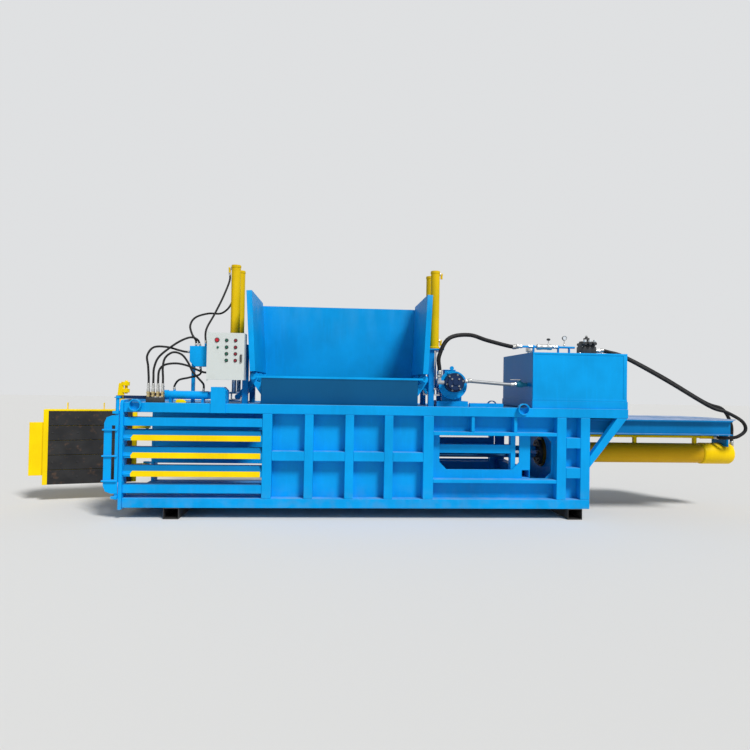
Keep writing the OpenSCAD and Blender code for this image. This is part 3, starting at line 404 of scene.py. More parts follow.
class Shape:
    def __init__(self):
        self.bm = bmesh.new()

    def soften(self, verts, width, segments=2):
        edges = {e for v in verts for e in v.link_edges}
        bmesh.ops.bevel(self.bm, geom=list(edges), offset=width, offset_type="OFFSET",
                        affect="EDGES", segments=segments, profile=0.5, material=-1,
                        clamp_overlap=True)

    def block(self, low, high, width):
        low, high = Vector(low), Vector(high)
        place = Matrix.Translation((low + high) / 2) @ Matrix.Diagonal((*(high - low), 1))
        made = bmesh.ops.create_cube(self.bm, size=1, matrix=place)
        self.soften(made["verts"], width)

    # a profile of (radius, distance) pairs spun about an axis from a point
    def turned(self, profile, at, axis, steps):
        axis = Vector(axis).normalized()
        turn = axis.to_track_quat("Z", "Y").to_matrix().to_4x4()
        place = Matrix.Translation(at) @ turn
        ring = [self.bm.verts.new(place @ Vector((r, 0, z))) for r, z in profile]
        edges = [self.bm.edges.new(pair) for pair in zip(ring, ring[1:])]
        bmesh.ops.spin(self.bm, geom=ring + edges, cent=at, axis=axis, dvec=(0, 0, 0),
                       angle=2 * pi, steps=steps, use_merge=True, use_duplicate=False)
        bmesh.ops.remove_doubles(self.bm, verts=self.bm.verts[:], dist=mergeGap)

    # a closed round bar with softened ends
    def bar(self, r, start, end, soft=0.002):
        start, end = Vector(start), Vector(end)
        n = (end - start).length
        soft = min(soft, r * 0.4, n * 0.3)
        self.turned([(0, 0), (r - soft, 0), (r, soft), (r, n - soft), (r - soft, n), (0, n)],
                    start, end - start, 24)

    # an outline in the XZ plane, drawn along Y from a to b
    def prism(self, outline, a, b, width):
        base = [self.bm.verts.new((x, a, z)) for x, z in outline]
        face = self.bm.faces.new(base)
        moved = bmesh.ops.extrude_face_region(self.bm, geom=[face])["geom"]
        verts = [g for g in moved if isinstance(g, bmesh.types.BMVert)]
        bmesh.ops.translate(self.bm, verts=verts, vec=(0, b - a, 0))
        self.soften(base + verts, width)

    # a hexagon head, or a nut, with a chamfered top
    def hexagon(self, across, tall, at, axis):
        r = across / 2 / cos(pi / 6)
        self.turned([(0, 0), (r, 0), (r, tall * 0.8), (r * 0.86, tall), (0, tall)], at, axis, 6)

    # a pipe union: two nuts with a collar between
    def union(self, at, axis, r):
        at, axis = Vector(at), Vector(axis)
        collar = r * 0.8
        self.hexagon(r * 2, r * 1.1, at, axis)
        self.turned([(0, 0), (collar, 0), (collar, collar), (0, collar)], at + axis * r, axis, 20)
        self.hexagon(r * 2, r * 1.1, at + axis * r * 1.7, axis)

    def finish(self, name, material, body="body", replaces=None):
        bmesh.ops.remove_doubles(self.bm, verts=self.bm.verts[:], dist=mergeGap)
        bmesh.ops.recalc_face_normals(self.bm, faces=self.bm.faces[:])
        mesh = bpy.data.meshes.new(name)
        self.bm.to_mesh(mesh)
        self.bm.free()
        obj = bpy.data.objects.new(name, mesh)
        bpy.context.collection.objects.link(obj)
        mesh.materials.append(material)
        mesh.shade_smooth()
        mesh.set_sharp_from_angle(angle=sharpAngle)
        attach(obj, body)
        if replaces:
            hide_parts(replaces)


# Places that several pieces share

places = {
    "tankLip": 0.008,   # the tank's foot stands out by this much
    "pumpFromTank": 0.924, "pumpY": -0.430, "motorOverBody": 0.265, "pumpOverMotor": 0.030,
    "cylinderZ": 0.750, "barrelEnd": 7.270, "capX": 6.840, "platformEnd": 7.140,
    "oilPipeOver": 0.222, "stackFromTank": 1.041, "stackOverTank": 0.060,
    "lineFromFront": 0.430, "lineOverTank": 0.095, "lockY": -0.500, "lockOverBody": 0.091,
    "boxFromCabinet": 0.014, "pressY": 0.190, "rightPressX": 3.1467,
}
tankLow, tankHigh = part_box("tank")
tankLow = tankLow + Vector((places["tankLip"], places["tankLip"], 0))
tankHigh = tankHigh - Vector((places["tankLip"], places["tankLip"], 0))
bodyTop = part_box("rails")[1].z
pumpX, pumpY = tankLow.x - places["pumpFromTank"], places["pumpY"]
motorZ = bodyTop + places["motorOverBody"]
pumpZ = motorZ + places["pumpOverMotor"]
axisZ = places["cylinderZ"]
barrelEnd, capX, backX = places["barrelEnd"], places["capX"], places["platformEnd"]
pipeZ = axisZ + places["oilPipeOver"]
stackX = tankLow.x + places["stackFromTank"]
stackZ = tankHigh.z + places["stackOverTank"]
lineY, lineZ = tankLow.y + places["lineFromFront"], tankHigh.z + places["lineOverTank"]
lockY, lockZ = places["lockY"], bodyTop + places["lockOverBody"]
pressLow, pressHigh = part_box("left_press_rods")
pressX, pressY = (pressLow.x + pressHigh.x) / 2, places["pressY"]
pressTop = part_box("press_barrels")[1].z
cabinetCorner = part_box("cabinet")[0]
boxX, boxY = cabinetCorner.x, cabinetCorner.y + places["boxFromCabinet"]


# Hoses; the first six follow the same points as the model's

hoseSettings = {"between": 8, "roundness": 5, "thinRadius": 0.0125}
hosePoints = {
    "hose_pressure": ([
        (pumpX - 0.190, pumpY, pumpZ + 0.080), (pumpX - 0.190, pumpY, pumpZ + 0.170),
        (pumpX - 0.200, pumpY - 0.025, pumpZ + 0.330),
        (pumpX - 0.080, pumpY - 0.020, pumpZ + 0.550),
        (pumpX + 0.190, pumpY + 0.060, pumpZ + 0.607),
        (pumpX + 0.450, pumpY + 0.150, pumpZ + 0.550),
        (tankLow.x - 0.160, lineY, lineZ), (tankLow.x - 0.060, lineY, lineZ)], 0.026),
    "hose_suction": ([
        (pumpX + 0.160, pumpY, pumpZ + 0.020), (pumpX + 0.230, pumpY, pumpZ + 0.020),
        (tankLow.x - 0.260, pumpY, motorZ + 0.020), (tankLow.x - 0.150, pumpY, motorZ + 0.020)],
        0.022),
    "hose_cap_feed": ([
        (stackX, -0.140, stackZ), (stackX + 0.090, -0.140, stackZ),
        (stackX + 0.360, -0.140, stackZ - 0.060), (stackX + 0.900, -0.130, stackZ - 0.320),
        (stackX + 1.500, -0.110, stackZ - 0.650), (barrelEnd - 0.150, -0.060, axisZ + 0.600),
        (barrelEnd + 0.010, 0, axisZ + 0.400), (barrelEnd + 0.020, 0, axisZ + 0.230),
        (barrelEnd + 0.020, 0, axisZ + 0.110)], 0.022),
    "hose_rod_feed": ([
        (stackX, -0.200, stackZ), (stackX + 0.090, -0.200, stackZ),
        (stackX + 0.360, -0.205, stackZ - 0.090), (stackX + 0.900, -0.215, stackZ - 0.370),
        (stackX + 1.480, -0.240, stackZ - 0.700), (backX - 0.120, -0.280, axisZ + 0.570),
        (backX + 0.090, -0.290, axisZ + 0.455), (backX + 0.140, -0.290, axisZ + 0.340),
        (backX + 0.045, -0.280, pipeZ + 0.030), (capX + 0.250, -0.230, pipeZ + 0.005),
        (capX + 0.190, -0.140, pipeZ), (capX + 0.190, -0.060, pipeZ)], 0.022),
    "hose_press": ([
        (pressX - 0.081, -0.190, pressTop - 0.100), (pressX - 0.081, -0.190, pressTop - 0.200),
        (pressX - 0.141, -0.280, pressTop - 0.420), (pressX - 0.231, -0.330, pressTop - 0.640),
        (boxX - 0.050, boxY + 0.160, bodyTop + 0.880),
        (boxX - 0.050, boxY + 0.160, bodyTop + 0.720)], 0.012),
    "hose_lock": ([
        (-0.040, lockY, lockZ + 0.062), (-0.040, lockY, lockZ + 0.110),
        (0.020, lockY - 0.040, bodyTop + 0.270), (0.140, lockY - 0.060, bodyTop + 0.300),
        (boxX - 0.110, boxY + 0.160, bodyTop + 0.345),
        (boxX - 0.110, boxY + 0.160, bodyTop + 0.435)], 0.012),
}
# thin hoses that stand only in the scene: 1 and 2 run from the unions on the deck to the
# valve box, 3 to a press cylinder, 4 to the lock cylinder, 5 from a press cylinder to the box
thinHoses = {
    "thin-hose-1": [
        (-0.310, -0.620, 1.540), (-0.310, -0.620, 1.640), (-0.320, -0.620, 1.780),
        (-0.335, -0.612, 1.900), (-0.270, -0.590, 2.000), (-0.130, -0.550, 2.010),
        (0.010, -0.510, 1.975), (0.080, -0.500, 1.960), (0.140, -0.500, 1.960)],
    "thin-hose-2": [
        (-0.255, -0.620, 1.540), (-0.255, -0.620, 1.640), (-0.250, -0.620, 1.760),
        (-0.200, -0.605, 1.890), (-0.060, -0.575, 2.020), (0.050, -0.540, 2.098),
        (0.145, -0.508, 2.134), (0.219, -0.495, 2.106), (0.250, -0.490, 2.031)],
    "thin-hose-3": [
        (-0.200, -0.620, 1.540), (-0.200, -0.620, 1.620), (-0.190, -0.620, 1.730),
        (-0.130, -0.612, 1.795), (0.000, -0.592, 1.815), (0.130, -0.580, 1.790),
        (0.240, -0.560, 1.742), (0.320, -0.500, 1.715), (0.385, -0.400, 1.750),
        (0.400, -0.300, 1.870), (0.394, -0.215, 1.990), (0.424, -0.190, 2.066),
        (0.494, -0.190, 2.095)],
    "thin-hose-4": [
        (-0.145, -0.620, 1.540), (-0.145, -0.620, 1.640), (-0.150, -0.620, 1.770),
        (-0.125, -0.615, 1.880), (-0.040, -0.606, 1.945), (0.060, -0.594, 1.920),
        (0.130, -0.580, 1.830), (0.185, -0.570, 1.720), (0.250, -0.540, 1.640),
        (0.300, -0.500, 1.570), (0.300, -0.500, 1.491)],
    "thin-hose-5": [
        (0.529, 0.190, 2.980), (0.529, 0.190, 2.860), (0.500, 0.150, 2.640),
        (0.400, 0.050, 2.500), (0.260, -0.120, 2.470), (0.140, -0.280, 2.400),
        (0.110, -0.420, 2.290), (0.145, -0.480, 2.180), (0.195, -0.490, 2.100),
        (0.200, -0.490, 2.031)],
}


def smoothPath(points, between):
    # the curve that the model's hoses follow, with more steps
    points = [Vector(p) for p in points]
    path = []
    for i in range(len(points) - 1):
        a, b = points[max(i - 1, 0)], points[i]
        c, d = points[i + 1], points[min(i + 2, len(points) - 1)]
        for k in range(between):
            t = k / between
            path.append(0.5 * (2 * b + (c - a) * t + (2 * a - 5 * b + 4 * c - d) * t * t
                               + (3 * b - a - 3 * c + d) * t ** 3))
    return path + [points[-1]]


def ferrule(shape, end, inward, r):
    # the crimped sleeve and nut at the end of a hose
    inward = (inward - end).normalized()
    n = r * 2.6
    profile = [(0, 0), (r * 0.7, 0), (r * 0.7, n * 0.2), (r * 1.12, n * 0.24)]
    for i in range(4):
        z = n * (0.3 + 0.16 * i)
        profile += [(r * 1.24, z), (r * 1.24, z + n * 0.08), (r * 1.14, z + n * 0.1),
                    (r * 1.14, z + n * 0.14)]
    profile += [(r * 1.02, n), (0, n)]
    shape.turned(profile, end, inward, 20)
    shape.hexagon(r * 2.3, r * 0.9, end - inward * r * 0.5, inward)


def hose(name, points, r, material=blackRubber, replaces=None):
    path = smoothPath(points, hoseSettings["between"])
    curve = bpy.data.curves.new(name, "CURVE")
    curve.dimensions = "3D"
    spline = curve.splines.new("POLY")
    spline.points.add(len(path) - 1)
    for p, co in zip(spline.points, path):
        p.co = (*co, 1)
    curve.bevel_depth = r
    curve.bevel_resolution = hoseSettings["roundness"]
    curve.use_fill_caps = True
    curve.materials.append(material)
    obj = bpy.data.objects.new(name, curve)
    bpy.context.collection.objects.link(obj)
    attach(obj, "body")
    length = sum((b - a).length for a, b in zip(path, path[1:]))
    2 * r
    if replaces:
        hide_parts(replaces)
    ends = Shape()
    ferrule(ends, path[0], path[3], r)
    ferrule(ends, path[-1], path[-4], r)
    ends.finish(name + "Ends", galvanised)


for node, (points, radius) in hosePoints.items():
    hose(node.replace("_", "-"), points, radius,
         braidedSteel if node == "hose_suction" else blackRubber, node)
for name, points in thinHoses.items():
    hose(name, points, hoseSettings["thinRadius"])
print("hoses laid")


# Welded and rolled pieces keep the model's shape and get softened edges

softEdges = {
    "rails": (bluePaint, 0.006), "end_frame": (bluePaint, 0.005), "side_posts": (bluePaint, 0.006),
    "side_ribs": (bluePaint, 0.006), "bale_bars": (barPaint, 0.005),
    "strap_strips": (yellowPaint, 0.003), "side_walls": (bluePaint, 0.003),
    "chamber_plates": (bluePaint, 0.002), "deck_plates": (deckPaint, 0.002),
    "cross_beams": (bluePaint, 0.004), "cylinder_mount": (bluePaint, 0.004),
    "rear_platform": (platformPaint, 0.002), "lifting_rings": (bluePaint, 0.003),
    "hopper": (hopperPaint, 0.002), "flap_brackets": (bluePaint, 0.003),
    "press_stands": (deckPaint, 0.004), "press_barrels": (pressPaint, 0.003),
    "left_flap": (flapPaint, 0.005), "right_flap": (flapPaint, 0.005),
    "left_press_rods": (chromeRod, 0.0006), "right_press_rods": (chromeRod, 0.0006),
    "ram": (bluePaint, 0.004), "main_rod": (chromeRod, 0.004), "main_barrel": (barrelPaint, 0.003),
    "main_gland": (blackPaint, 0.003), "oil_pipe": (yellowPaint, 0.002),
    "lock_frame": (bluePaint, 0.003), "lock_brackets": (bluePaint, 0.003),
    "lock_cylinder": (bluePaint, 0.003), "lock_rod": (pumpPaint, 0.002),
    "door_frame": (yellowPaint, 0.004), "door_liners": (linerSteel, 0.004),
    "door_fittings": (yellowPaint, 0.003), "door_hinges": (bluePaint, 0.003),
    "cabinet": (ivoryCoat, 0.001), "cabinet_door": (ivoryCoat, 0.002),
    "valve_box": (bluePaint, 0.003), "tank": (tankPaint, 0.003), "skids": (blackPaint, 0.003),
    "motor": (bluePaint, 0.003), "pump": (pumpBody, 0.003), "suction_valve": (valvePaint, 0.002),
    "valve_lever": (galvanised, 0.001), "stop_button": (stopPlastic, 0.0003),
}
for node in nodes:
    if node.startswith("green_button"):
        softEdges[node] = (greenPlastic, 0.0003)
    if node.startswith("red_button"):
        softEdges[node] = (redPlastic, 0.0003)
bevelSettings = {"merge": 1e-5, "flat": 0.6, "segments": 2, "angle": 50}   # angles in degrees


def softenNode(node, material, width):
    s = bevelSettings
    bm = bmesh.new()
    bm.from_mesh(nodes[node].data)
    bmesh.ops.remove_doubles(bm, verts=bm.verts[:], dist=s["merge"])
    bmesh.ops.dissolve_limit(bm, angle_limit=radians(s["flat"]), verts=bm.verts[:],
                             edges=bm.edges[:], use_dissolve_boundaries=False, delimit=set())
    mesh = bpy.data.meshes.new(node + "Soft")
    bm.to_mesh(mesh)
    bm.free()
    mesh.materials.clear()
    mesh.materials.append(material)
    obj = bpy.data.objects.new(node.replace("_", "-"), mesh)
    bpy.context.collection.objects.link(obj)
    mesh.shade_smooth()
    mesh.set_sharp_from_angle(angle=sharpAngle)
    bevel = obj.modifiers.new("edges", "BEVEL")
    bevel.width = width
    bevel.segments = s["segments"]
    bevel.limit_method = "ANGLE"
    bevel.angle_limit = radians(s["angle"])
    bevel.use_clamp_overlap = True
    bevel.harden_normals = True
    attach(obj, bodyOf[node])
    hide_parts(node)


for node, (material, width) in softEdges.items():
    softenNode(node, material, width)
print("frame pieces finished")


# Control cabinet: bezels, lamp and latch

cabinetSettings = {
    "face": -0.670, "left": 0.365, "foot": 1.630,
    # each button's place on the door and its radius
    "buttons": [(0.117, 0.468, 0.020)] + [(x, z, 0.013) for x in (0.229, 0.333)
                                          for z in (0.466, 0.385, 0.307, 0.229)],
    "gap": 0.0008, "rim": 0.009, "rimTop": 0.006, "rimEdge": 0.002, "rimTall": 0.0045,
    "lamp": (0.127, 0.382),
    "lens": [(0, 0.0135), (0.006, 0.013), (0.011, 0.0105), (0.0136, 0.007), (0.0136, 0.001),
             (0, 0.001)],
    "latch": (0.399, 0.255), "latchHalf": (0.012, 0.047), "latchDeep": 0.0165, "latchEdge": 0.004,
    "lock": 0.007, "lockUp": 0.030, "lockFrom": 0.016, "lockTo": 0.021,
}


def cabinetDetails(s):
    face, door = s["face"], "cabinet_door"
    rings = Shape()
    for x, z, r in s["buttons"]:
        inner, outer, tall = r + s["gap"], r + s["rim"], s["rimTall"]
        profile = [(inner, 0), (outer, 0), (outer, s["rimEdge"]), (r + s["rimTop"], tall),
                   (inner, tall), (inner, 0)]
        rings.turned(profile, (s["left"] + x, face, s["foot"] + z), towards, 28)
    rings.finish("button-bezels", blackPaint, door)
    lens = Shape()
    x, z = s["lamp"]
    lens.turned(s["lens"], (s["left"] + x, face, s["foot"] + z), towards, 28)
    lens.finish("lamp-lens", greenPlastic, door)
    latch = Shape()
    x, z = s["left"] + s["latch"][0], s["foot"] + s["latch"][1]
    wide, tall = s["latchHalf"]
    latch.block((x - wide, face - s["latchDeep"], z - tall), (x + wide, face, z + tall),
                s["latchEdge"])
    up = z + s["lockUp"]
    latch.bar(s["lock"], (x, face - s["lockFrom"], up), (x, face - s["lockTo"], up), 0.001)
    latch.finish("cabinet-latch", blackPaint, door)


cabinetDetails(cabinetSettings)


# Motor and pump: fins, fan cover, terminal box and bolts

motorSettings = {
    # places are counted from the motor's axis, and the fan cover's heights along it
    "fins": 30, "finAt": (0.136, -0.065, 0), "finSize": (0.016, 0.420, 0.004), "finEdge": 0.0012,
    "fan": [(0.110, 0.156), (0.142, 0.156), (0.142, 0.210), (0.126, 0.224), (0.110, 0.224)],
    # low and high corners and edge of the terminal box and its lid
    "terminals": [((-0.070, -0.150, 0.110), (0.070, 0.010, 0.196), 0.006),
                  ((-0.076, -0.156, 0.190), (0.076, 0.016, 0.200), 0.003)],
    "flangeY": -0.350, "flangeBolts": (8, 0.162, 0.39),   # count, radius and turn
    "washer": 0.019, "washerTall": 0.004, "boltProud": 0.003,
    # count, radius, turn, distance before the pump's middle and height
    "pumpBolts": [(6, 0.102, 0.2, 0.040, 0.011), (4, 0.062, pi / 4, 0.080, 0.010)],
    "bolt": 0.022, "flangeBoltTall": 0.014,
    "coverAhead": 0.080,
    "cover": [(0, 0.010), (0.030, 0.010), (0.036, 0.004), (0.036, -0.002), (0, -0.002)],
}


def around(count, radius, centre, start):
    # points on a circle in the XZ plane
    return [(centre[0] + radius * cos(start + 2 * pi * i / count), centre[1],
             centre[2] + radius * sin(start + 2 * pi * i / count)) for i in range(count)]


def motorDetails(s):
    fins = Shape()
    centre = Vector((pumpX, 0, motorZ))
    out, size = Matrix.Translation(s["finAt"]), Matrix.Diagonal((*s["finSize"], 1))
    for i in range(s["fins"]):
        turn = Matrix.Translation(centre) @ Matrix.Rotation(2 * pi * i / s["fins"], 4, "Y")
        made = bmesh.ops.create_cube(fins.bm, size=1, matrix=turn @ out @ size)
        fins.soften(made["verts"], s["finEdge"], 1)
    fins.turned(s["fan"], centre, alongY, 40)
    for low, high, edge in s["terminals"]:
        fins.block(centre + Vector(low), centre + Vector(high), edge)
    fins.finish("motor-fins", bluePaint)
    bolts = Shape()
    count, radius, start = s["flangeBolts"]
    washer, thick = s["washer"], s["washerTall"]
    for at in around(count, radius, (pumpX, s["flangeY"], motorZ), start):
        bolts.turned([(0, thick), (washer, thick), (washer, 0), (0, 0)], at, towards, 20)
        proud = (at[0], at[1] - s["boltProud"], at[2])
        bolts.hexagon(s["bolt"], s["flangeBoltTall"], proud, towards)
    bolts.finish("flange-bolts", bluePaint)
    bolts = Shape()
    for count, radius, start, ahead, tall in s["pumpBolts"]:
        for at in around(count, radius, (pumpX, pumpY - ahead, pumpZ), start):
            bolts.hexagon(s["bolt"], tall, at, towards)
    bolts.finish("pump-bolts", braidedSteel)
    cover = Shape()
    cover.turned(s["cover"], (pumpX, pumpY - s["coverAhead"], pumpZ), towards, 28)
    cover.finish("pump-cover", pumpPaint)


motorDetails(motorSettings)


# Pipe line on the tank, with its filter, gauge and filler; x counts from the tank's left end

lineSettings = {
    "pipe": 0.014, "from": -0.030, "to": 0.700,
    "clamped": (0.150, 0.480), "lastPost": 0.626, "postHalf": (0.006, 0.026), "under": 0.010,
    "clamp": [(0.014, -0.012), (0.023, -0.012), (0.023, 0.012), (0.014, 0.012)],
    "unions": [(-0.060, 0.022), (0.085, 0.021), (0.415, 0.021)],   # place and radius
    "filterX": 0.190,
    "filter": [(0, 0), (0.026, 0), (0.038, 0.012), (0.038, 0.060), (0.034, 0.066), (0.034, 0.142),
               (0.038, 0.148), (0.038, 0.198), (0.026, 0.210), (0, 0.210)],
    "bandX": 0.223, "band": [(0, 0), (0.030, 0), (0.030, 0.074), (0, 0.074)],
    "gaugeX": 0.560, "gaugeStem": 0.100, "gaugeUp": 0.120,
    "dial": [(0, 0.0165), (0.0255, 0.0165), (0.0255, 0.014), (0, 0.014)],
    "gauge": [(0, -0.014), (0.022, -0.014), (0.029, -0.008), (0.029, 0.018), (0.026, 0.020),
              (0.026, 0.015), (0, 0.015)],
    "knobX": 0.350, "knobStem": 0.085,
    "knob": [(0, 0), (0.012, 0), (0.024, 0.006), (0.024, 0.020), (0.014, 0.028), (0, 0.028)],
    "stem": 0.006, "stemNut": (0.024, 0.018), "nutUp": 0.022,
    "fillerAt": (0.250, 0.420),
    "filler": [(0, 0), (0.045, 0), (0.045, 0.056), (0.062, 0.060), (0.062, 0.096), (0.056, 0.108),
               (0, 0.110)],
}


def pipeLine(s):
    x0, y, z = tankLow.x, lineY, lineZ
    top = tankHigh.z
    line = Shape()
    line.bar(s["pipe"], (x0 + s["from"], y, z), (x0 + s["to"], y, z))
    half, deep = s["postHalf"]
    for x in (*s["clamped"], s["lastPost"]):
        line.block((x0 + x - half, y - deep, top), (x0 + x + half, y + deep, z - s["under"]), 0.002)
        if x in s["clamped"]:
            line.turned(s["clamp"], (x0 + x, y, z), alongX, 24)
    line.finish("tank-line", bluePaint, replaces="pipe_fittings")
    steel = Shape()
    for x, r in s["unions"]:
        steel.union((x0 + x, y, z), alongX, r)
    steel.turned(s["filter"], (x0 + s["filterX"], y, z), alongX, 32)
    gaugeX, knobX = x0 + s["gaugeX"], x0 + s["knobX"]
    for x, tall in ((gaugeX, s["gaugeStem"]), (knobX, s["knobStem"])):
        steel.bar(s["stem"], (x, y, z), (x, y, z + tall))
        steel.hexagon(*s["stemNut"], (x, y, z + s["nutUp"]), alongZ)
    fillerX, fillerY = s["fillerAt"]
    steel.turned(s["filler"], (x0 + fillerX, y + fillerY, top), alongZ, 36)
    steel.finish("tank-line-fittings", galvanised)
    dial = Shape()
    dial.turned(s["dial"], (gaugeX, y, z + s["gaugeUp"]), towards, 32)
    dial.finish("gauge-dial", dialFace)
    knob = Shape()
    knob.turned(s["gauge"], (gaugeX, y, z + s["gaugeUp"]), towards, 32)
    knob.turned(s["knob"], (knobX, y, z + s["knobStem"]), alongZ, 20)
    knob.turned(s["band"], (x0 + s["bandX"], y, z), alongX, 28)
    knob.finish("filter-band", blackPaint)


pipeLine(lineSettings)


# Four unions on the deck, on one block

unionSettings = {
    "at": (-0.310, -0.620), "count": 4, "pitch": 0.055,
    "block": (-0.332, -0.122), "blockHalf": 0.026, "blockTall": 0.062, "edge": 0.004,
    "bolts": (-0.320, -0.134), "bolt": (0.016, 0.008), "sunk": 0.001,
    "pipe": 0.012, "from": 0.060, "to": 0.190,
    "low": (0.068, 0.021), "high": (0.150, 0.017),   # height and radius of the unions
    "collarUp": 0.118,
    "collar": [(0, 0), (0.017, 0), (0.017, 0.010), (0.020, 0.014), (0.020, 0.034), (0, 0.034)],
}


def deckUnions(s):
    (x0, y), z = s["at"], bodyTop
    left, right = s["block"]
    block = Shape()
    top, half = z + s["blockTall"], s["blockHalf"]
    block.block((left, y - half, z), (right, y + half, top), s["edge"])
    for x in s["bolts"]:
        block.hexagon(*s["bolt"], (x, y, top - s["sunk"]), alongZ)
    block.finish("union-block", blackPaint)
    steel, low = Shape(), Shape()
    (lowUp, lowRadius), (highUp, highRadius) = s["low"], s["high"]
    for i in range(s["count"]):
        x = x0 + s["pitch"] * i
        steel.bar(s["pipe"], (x, y, z + s["from"]), (x, y, z + s["to"]))
        low.union((x, y, z + lowUp), alongZ, lowRadius)
        steel.turned(s["collar"], (x, y, z + s["collarUp"]), alongZ, 20)
        steel.union((x, y, z + highUp), alongZ, highRadius)
    low.finish("deck-unions-low", brass)
    steel.finish("deck-unions", galvanised)


deckUnions(unionSettings)


# Valve stack on the tank; blocks are low and high corners and an edge, from the stack's foot

stackSettings = {
    "x": 5.000, "base": 2.035, "valves": (0.090, 0.155, 0.220),
    "manifold": ((0.060, -0.290, 0.019), (0.250, -0.110, 0.108), 0.004),
    "valve": [((-0.025, -0.268, 0.108), (0.025, -0.132, 0.160), 0.003),
              ((-0.020, -0.240, 0.158), (0.020, -0.160, 0.180), 0.003)],
    # radius and both ends of each coil, 0.145 up
    "coils": [(0.022, -0.330, -0.268), (0.020, -0.132, -0.090)], "coilUp": 0.145,
    "pilot": (0.155, -0.200), "pilotBar": (0.018, 0.178, 0.245), "pilotTip": (0.010, 0.240, 0.262),
    "pilotBlock": ((0.125, -0.232, 0.186), (0.185, -0.168, 0.226), 0.004),
    "plate": ((0, -0.340, 0), (0.330, -0.060, 0.020), 0.003),
    "outlets": (-0.200, -0.140), "outletUp": 0.060, "outletPipe": (0.015, 0.249, 0.330),
    "outletUnion": (0.262, 0.021),
    # places along and across, height, width and tallness of the bolt heads
    "bolts": [((0.070, 0.240), (-0.278, -0.122), 0.107, 0.014, 0.007),
              ((0.020, 0.310), (-0.320, -0.080), 0.019, 0.020, 0.010)],
    "plug": [((-0.014, -0.326, 0.164), (0.014, -0.286, 0.196), 0.004),
             ((-0.006, -0.312, 0.150), (0.006, -0.298, 0.168), 0.001)],
}


def valveStack(s):
    x, z = s["x"], s["base"]

    def put(shape, block, k=0):
        low, high, edge = block
        shape.block((x + k + low[0], low[1], z + low[2]), (x + k + high[0], high[1], z + high[2]),
                    edge)

    dark = Shape()
    put(dark, s["manifold"])
    up = z + s["coilUp"]
    for k in s["valves"]:
        for block in s["valve"]:
            put(dark, block, k)
        for r, start, end in s["coils"]:
            dark.bar(r, (x + k, start, up), (x + k, end, up), 0.003)
    pilotX, pilotY = x + s["pilot"][0], s["pilot"][1]
    r, start, end = s["pilotBar"]
    dark.bar(r, (pilotX, pilotY, z + start), (pilotX, pilotY, z + end))
    put(dark, s["pilotBlock"])
    dark.finish("valve-stack", blackPaint, replaces="valve_stack")
    base = Shape()
    put(base, s["plate"])
    base.finish("stack-base", bluePaint)
    bright = Shape()
    up = z + s["outletUp"]
    r, start, end = s["outletPipe"]
    for y in s["outlets"]:
        bright.bar(r, (x + start, y, up), (x + end, y, up))
        bright.union((x + s["outletUnion"][0], y, up), alongX, s["outletUnion"][1])
    r, start, end = s["pilotTip"]
    bright.bar(r, (pilotX, pilotY, z + start), (pilotX, pilotY, z + end))
    for along, across, up, wide, tall in s["bolts"]:
        for bx in along:
            for y in across:
                bright.hexagon(wide, tall, (x + bx, y, z + up), alongZ)
    bright.finish("stack-fittings", galvanised)
    plugs = Shape()
    for k in s["valves"]:
        for block in s["plug"]:
            put(plugs, block, k)
    plugs.finish("coil-plugs", whitePlastic)


valveStack(stackSettings)


# Tank: rims of the side panel, lid and drain plug

tankSettings = {
    "foot": 0.090, "proud": 0.004, "sunk": 0.002, "edge": 0.0015,
    "footRim": 0.028, "topRim": (0.026, 0.003), "rightRim": (0.050, 0.003),
    "leftRim": (0.002, 0.020), "overlap": 0.001,
    "lid": ((0.560, 0.640), (1.000, 1.080)), "lidTall": 0.008, "lidEdge": 0.002,
    "boltsX": (0.590, 0.780, 0.970), "boltsY": (0.670, 0.860, 1.050), "bolt": (0.018, 0.008),
    "boltSunk": 0.001,
    "drainY": -0.100, "drainUp": 0.060, "drain": 0.014,
}


def tankDetails(s):
    lo, hi = tankLow, tankHigh
    foot = bodyTop + s["foot"]
    near, far = lo.y - s["proud"], lo.y + s["sunk"]
    under, over = s["topRim"]
    sideFoot, sideTop = foot + s["footRim"] - s["overlap"], hi.z - under + s["overlap"]
    rims = Shape()
    for left, right, low, high in (
            (lo.x, hi.x, foot, foot + s["footRim"]),
            (lo.x, hi.x, hi.z - under, hi.z - over),
            (hi.x - s["rightRim"][0], hi.x - s["rightRim"][1], sideFoot, sideTop),
            (lo.x + s["leftRim"][0], lo.x + s["leftRim"][1], sideFoot, sideTop)):
        rims.block((left, near, low), (right, far, high), s["edge"])
    rims.finish("tank-rims", tankPaint)
    lid = Shape()
    (x0, y0), (x1, y1) = s["lid"]
    top = hi.z + s["lidTall"]
    lid.block((lo.x + x0, lo.y + y0, hi.z), (lo.x + x1, lo.y + y1, top), s["lidEdge"])
    middle = (s["boltsX"][1], s["boltsY"][1])
    for x in s["boltsX"]:
        for y in s["boltsY"]:
            if (x, y) != middle:
                lid.hexagon(*s["bolt"], (lo.x + x, lo.y + y, top - s["boltSunk"]), alongZ)
    lid.finish("tank-lid", deckPaint)
    drain = Shape()
    drain.union((hi.x, s["drainY"], foot + s["drainUp"]), alongX, s["drain"])
    drain.finish("tank-drain", galvanised)


tankDetails(tankSettings)


# Cylinders: gland bolts, weld rings and port nuts

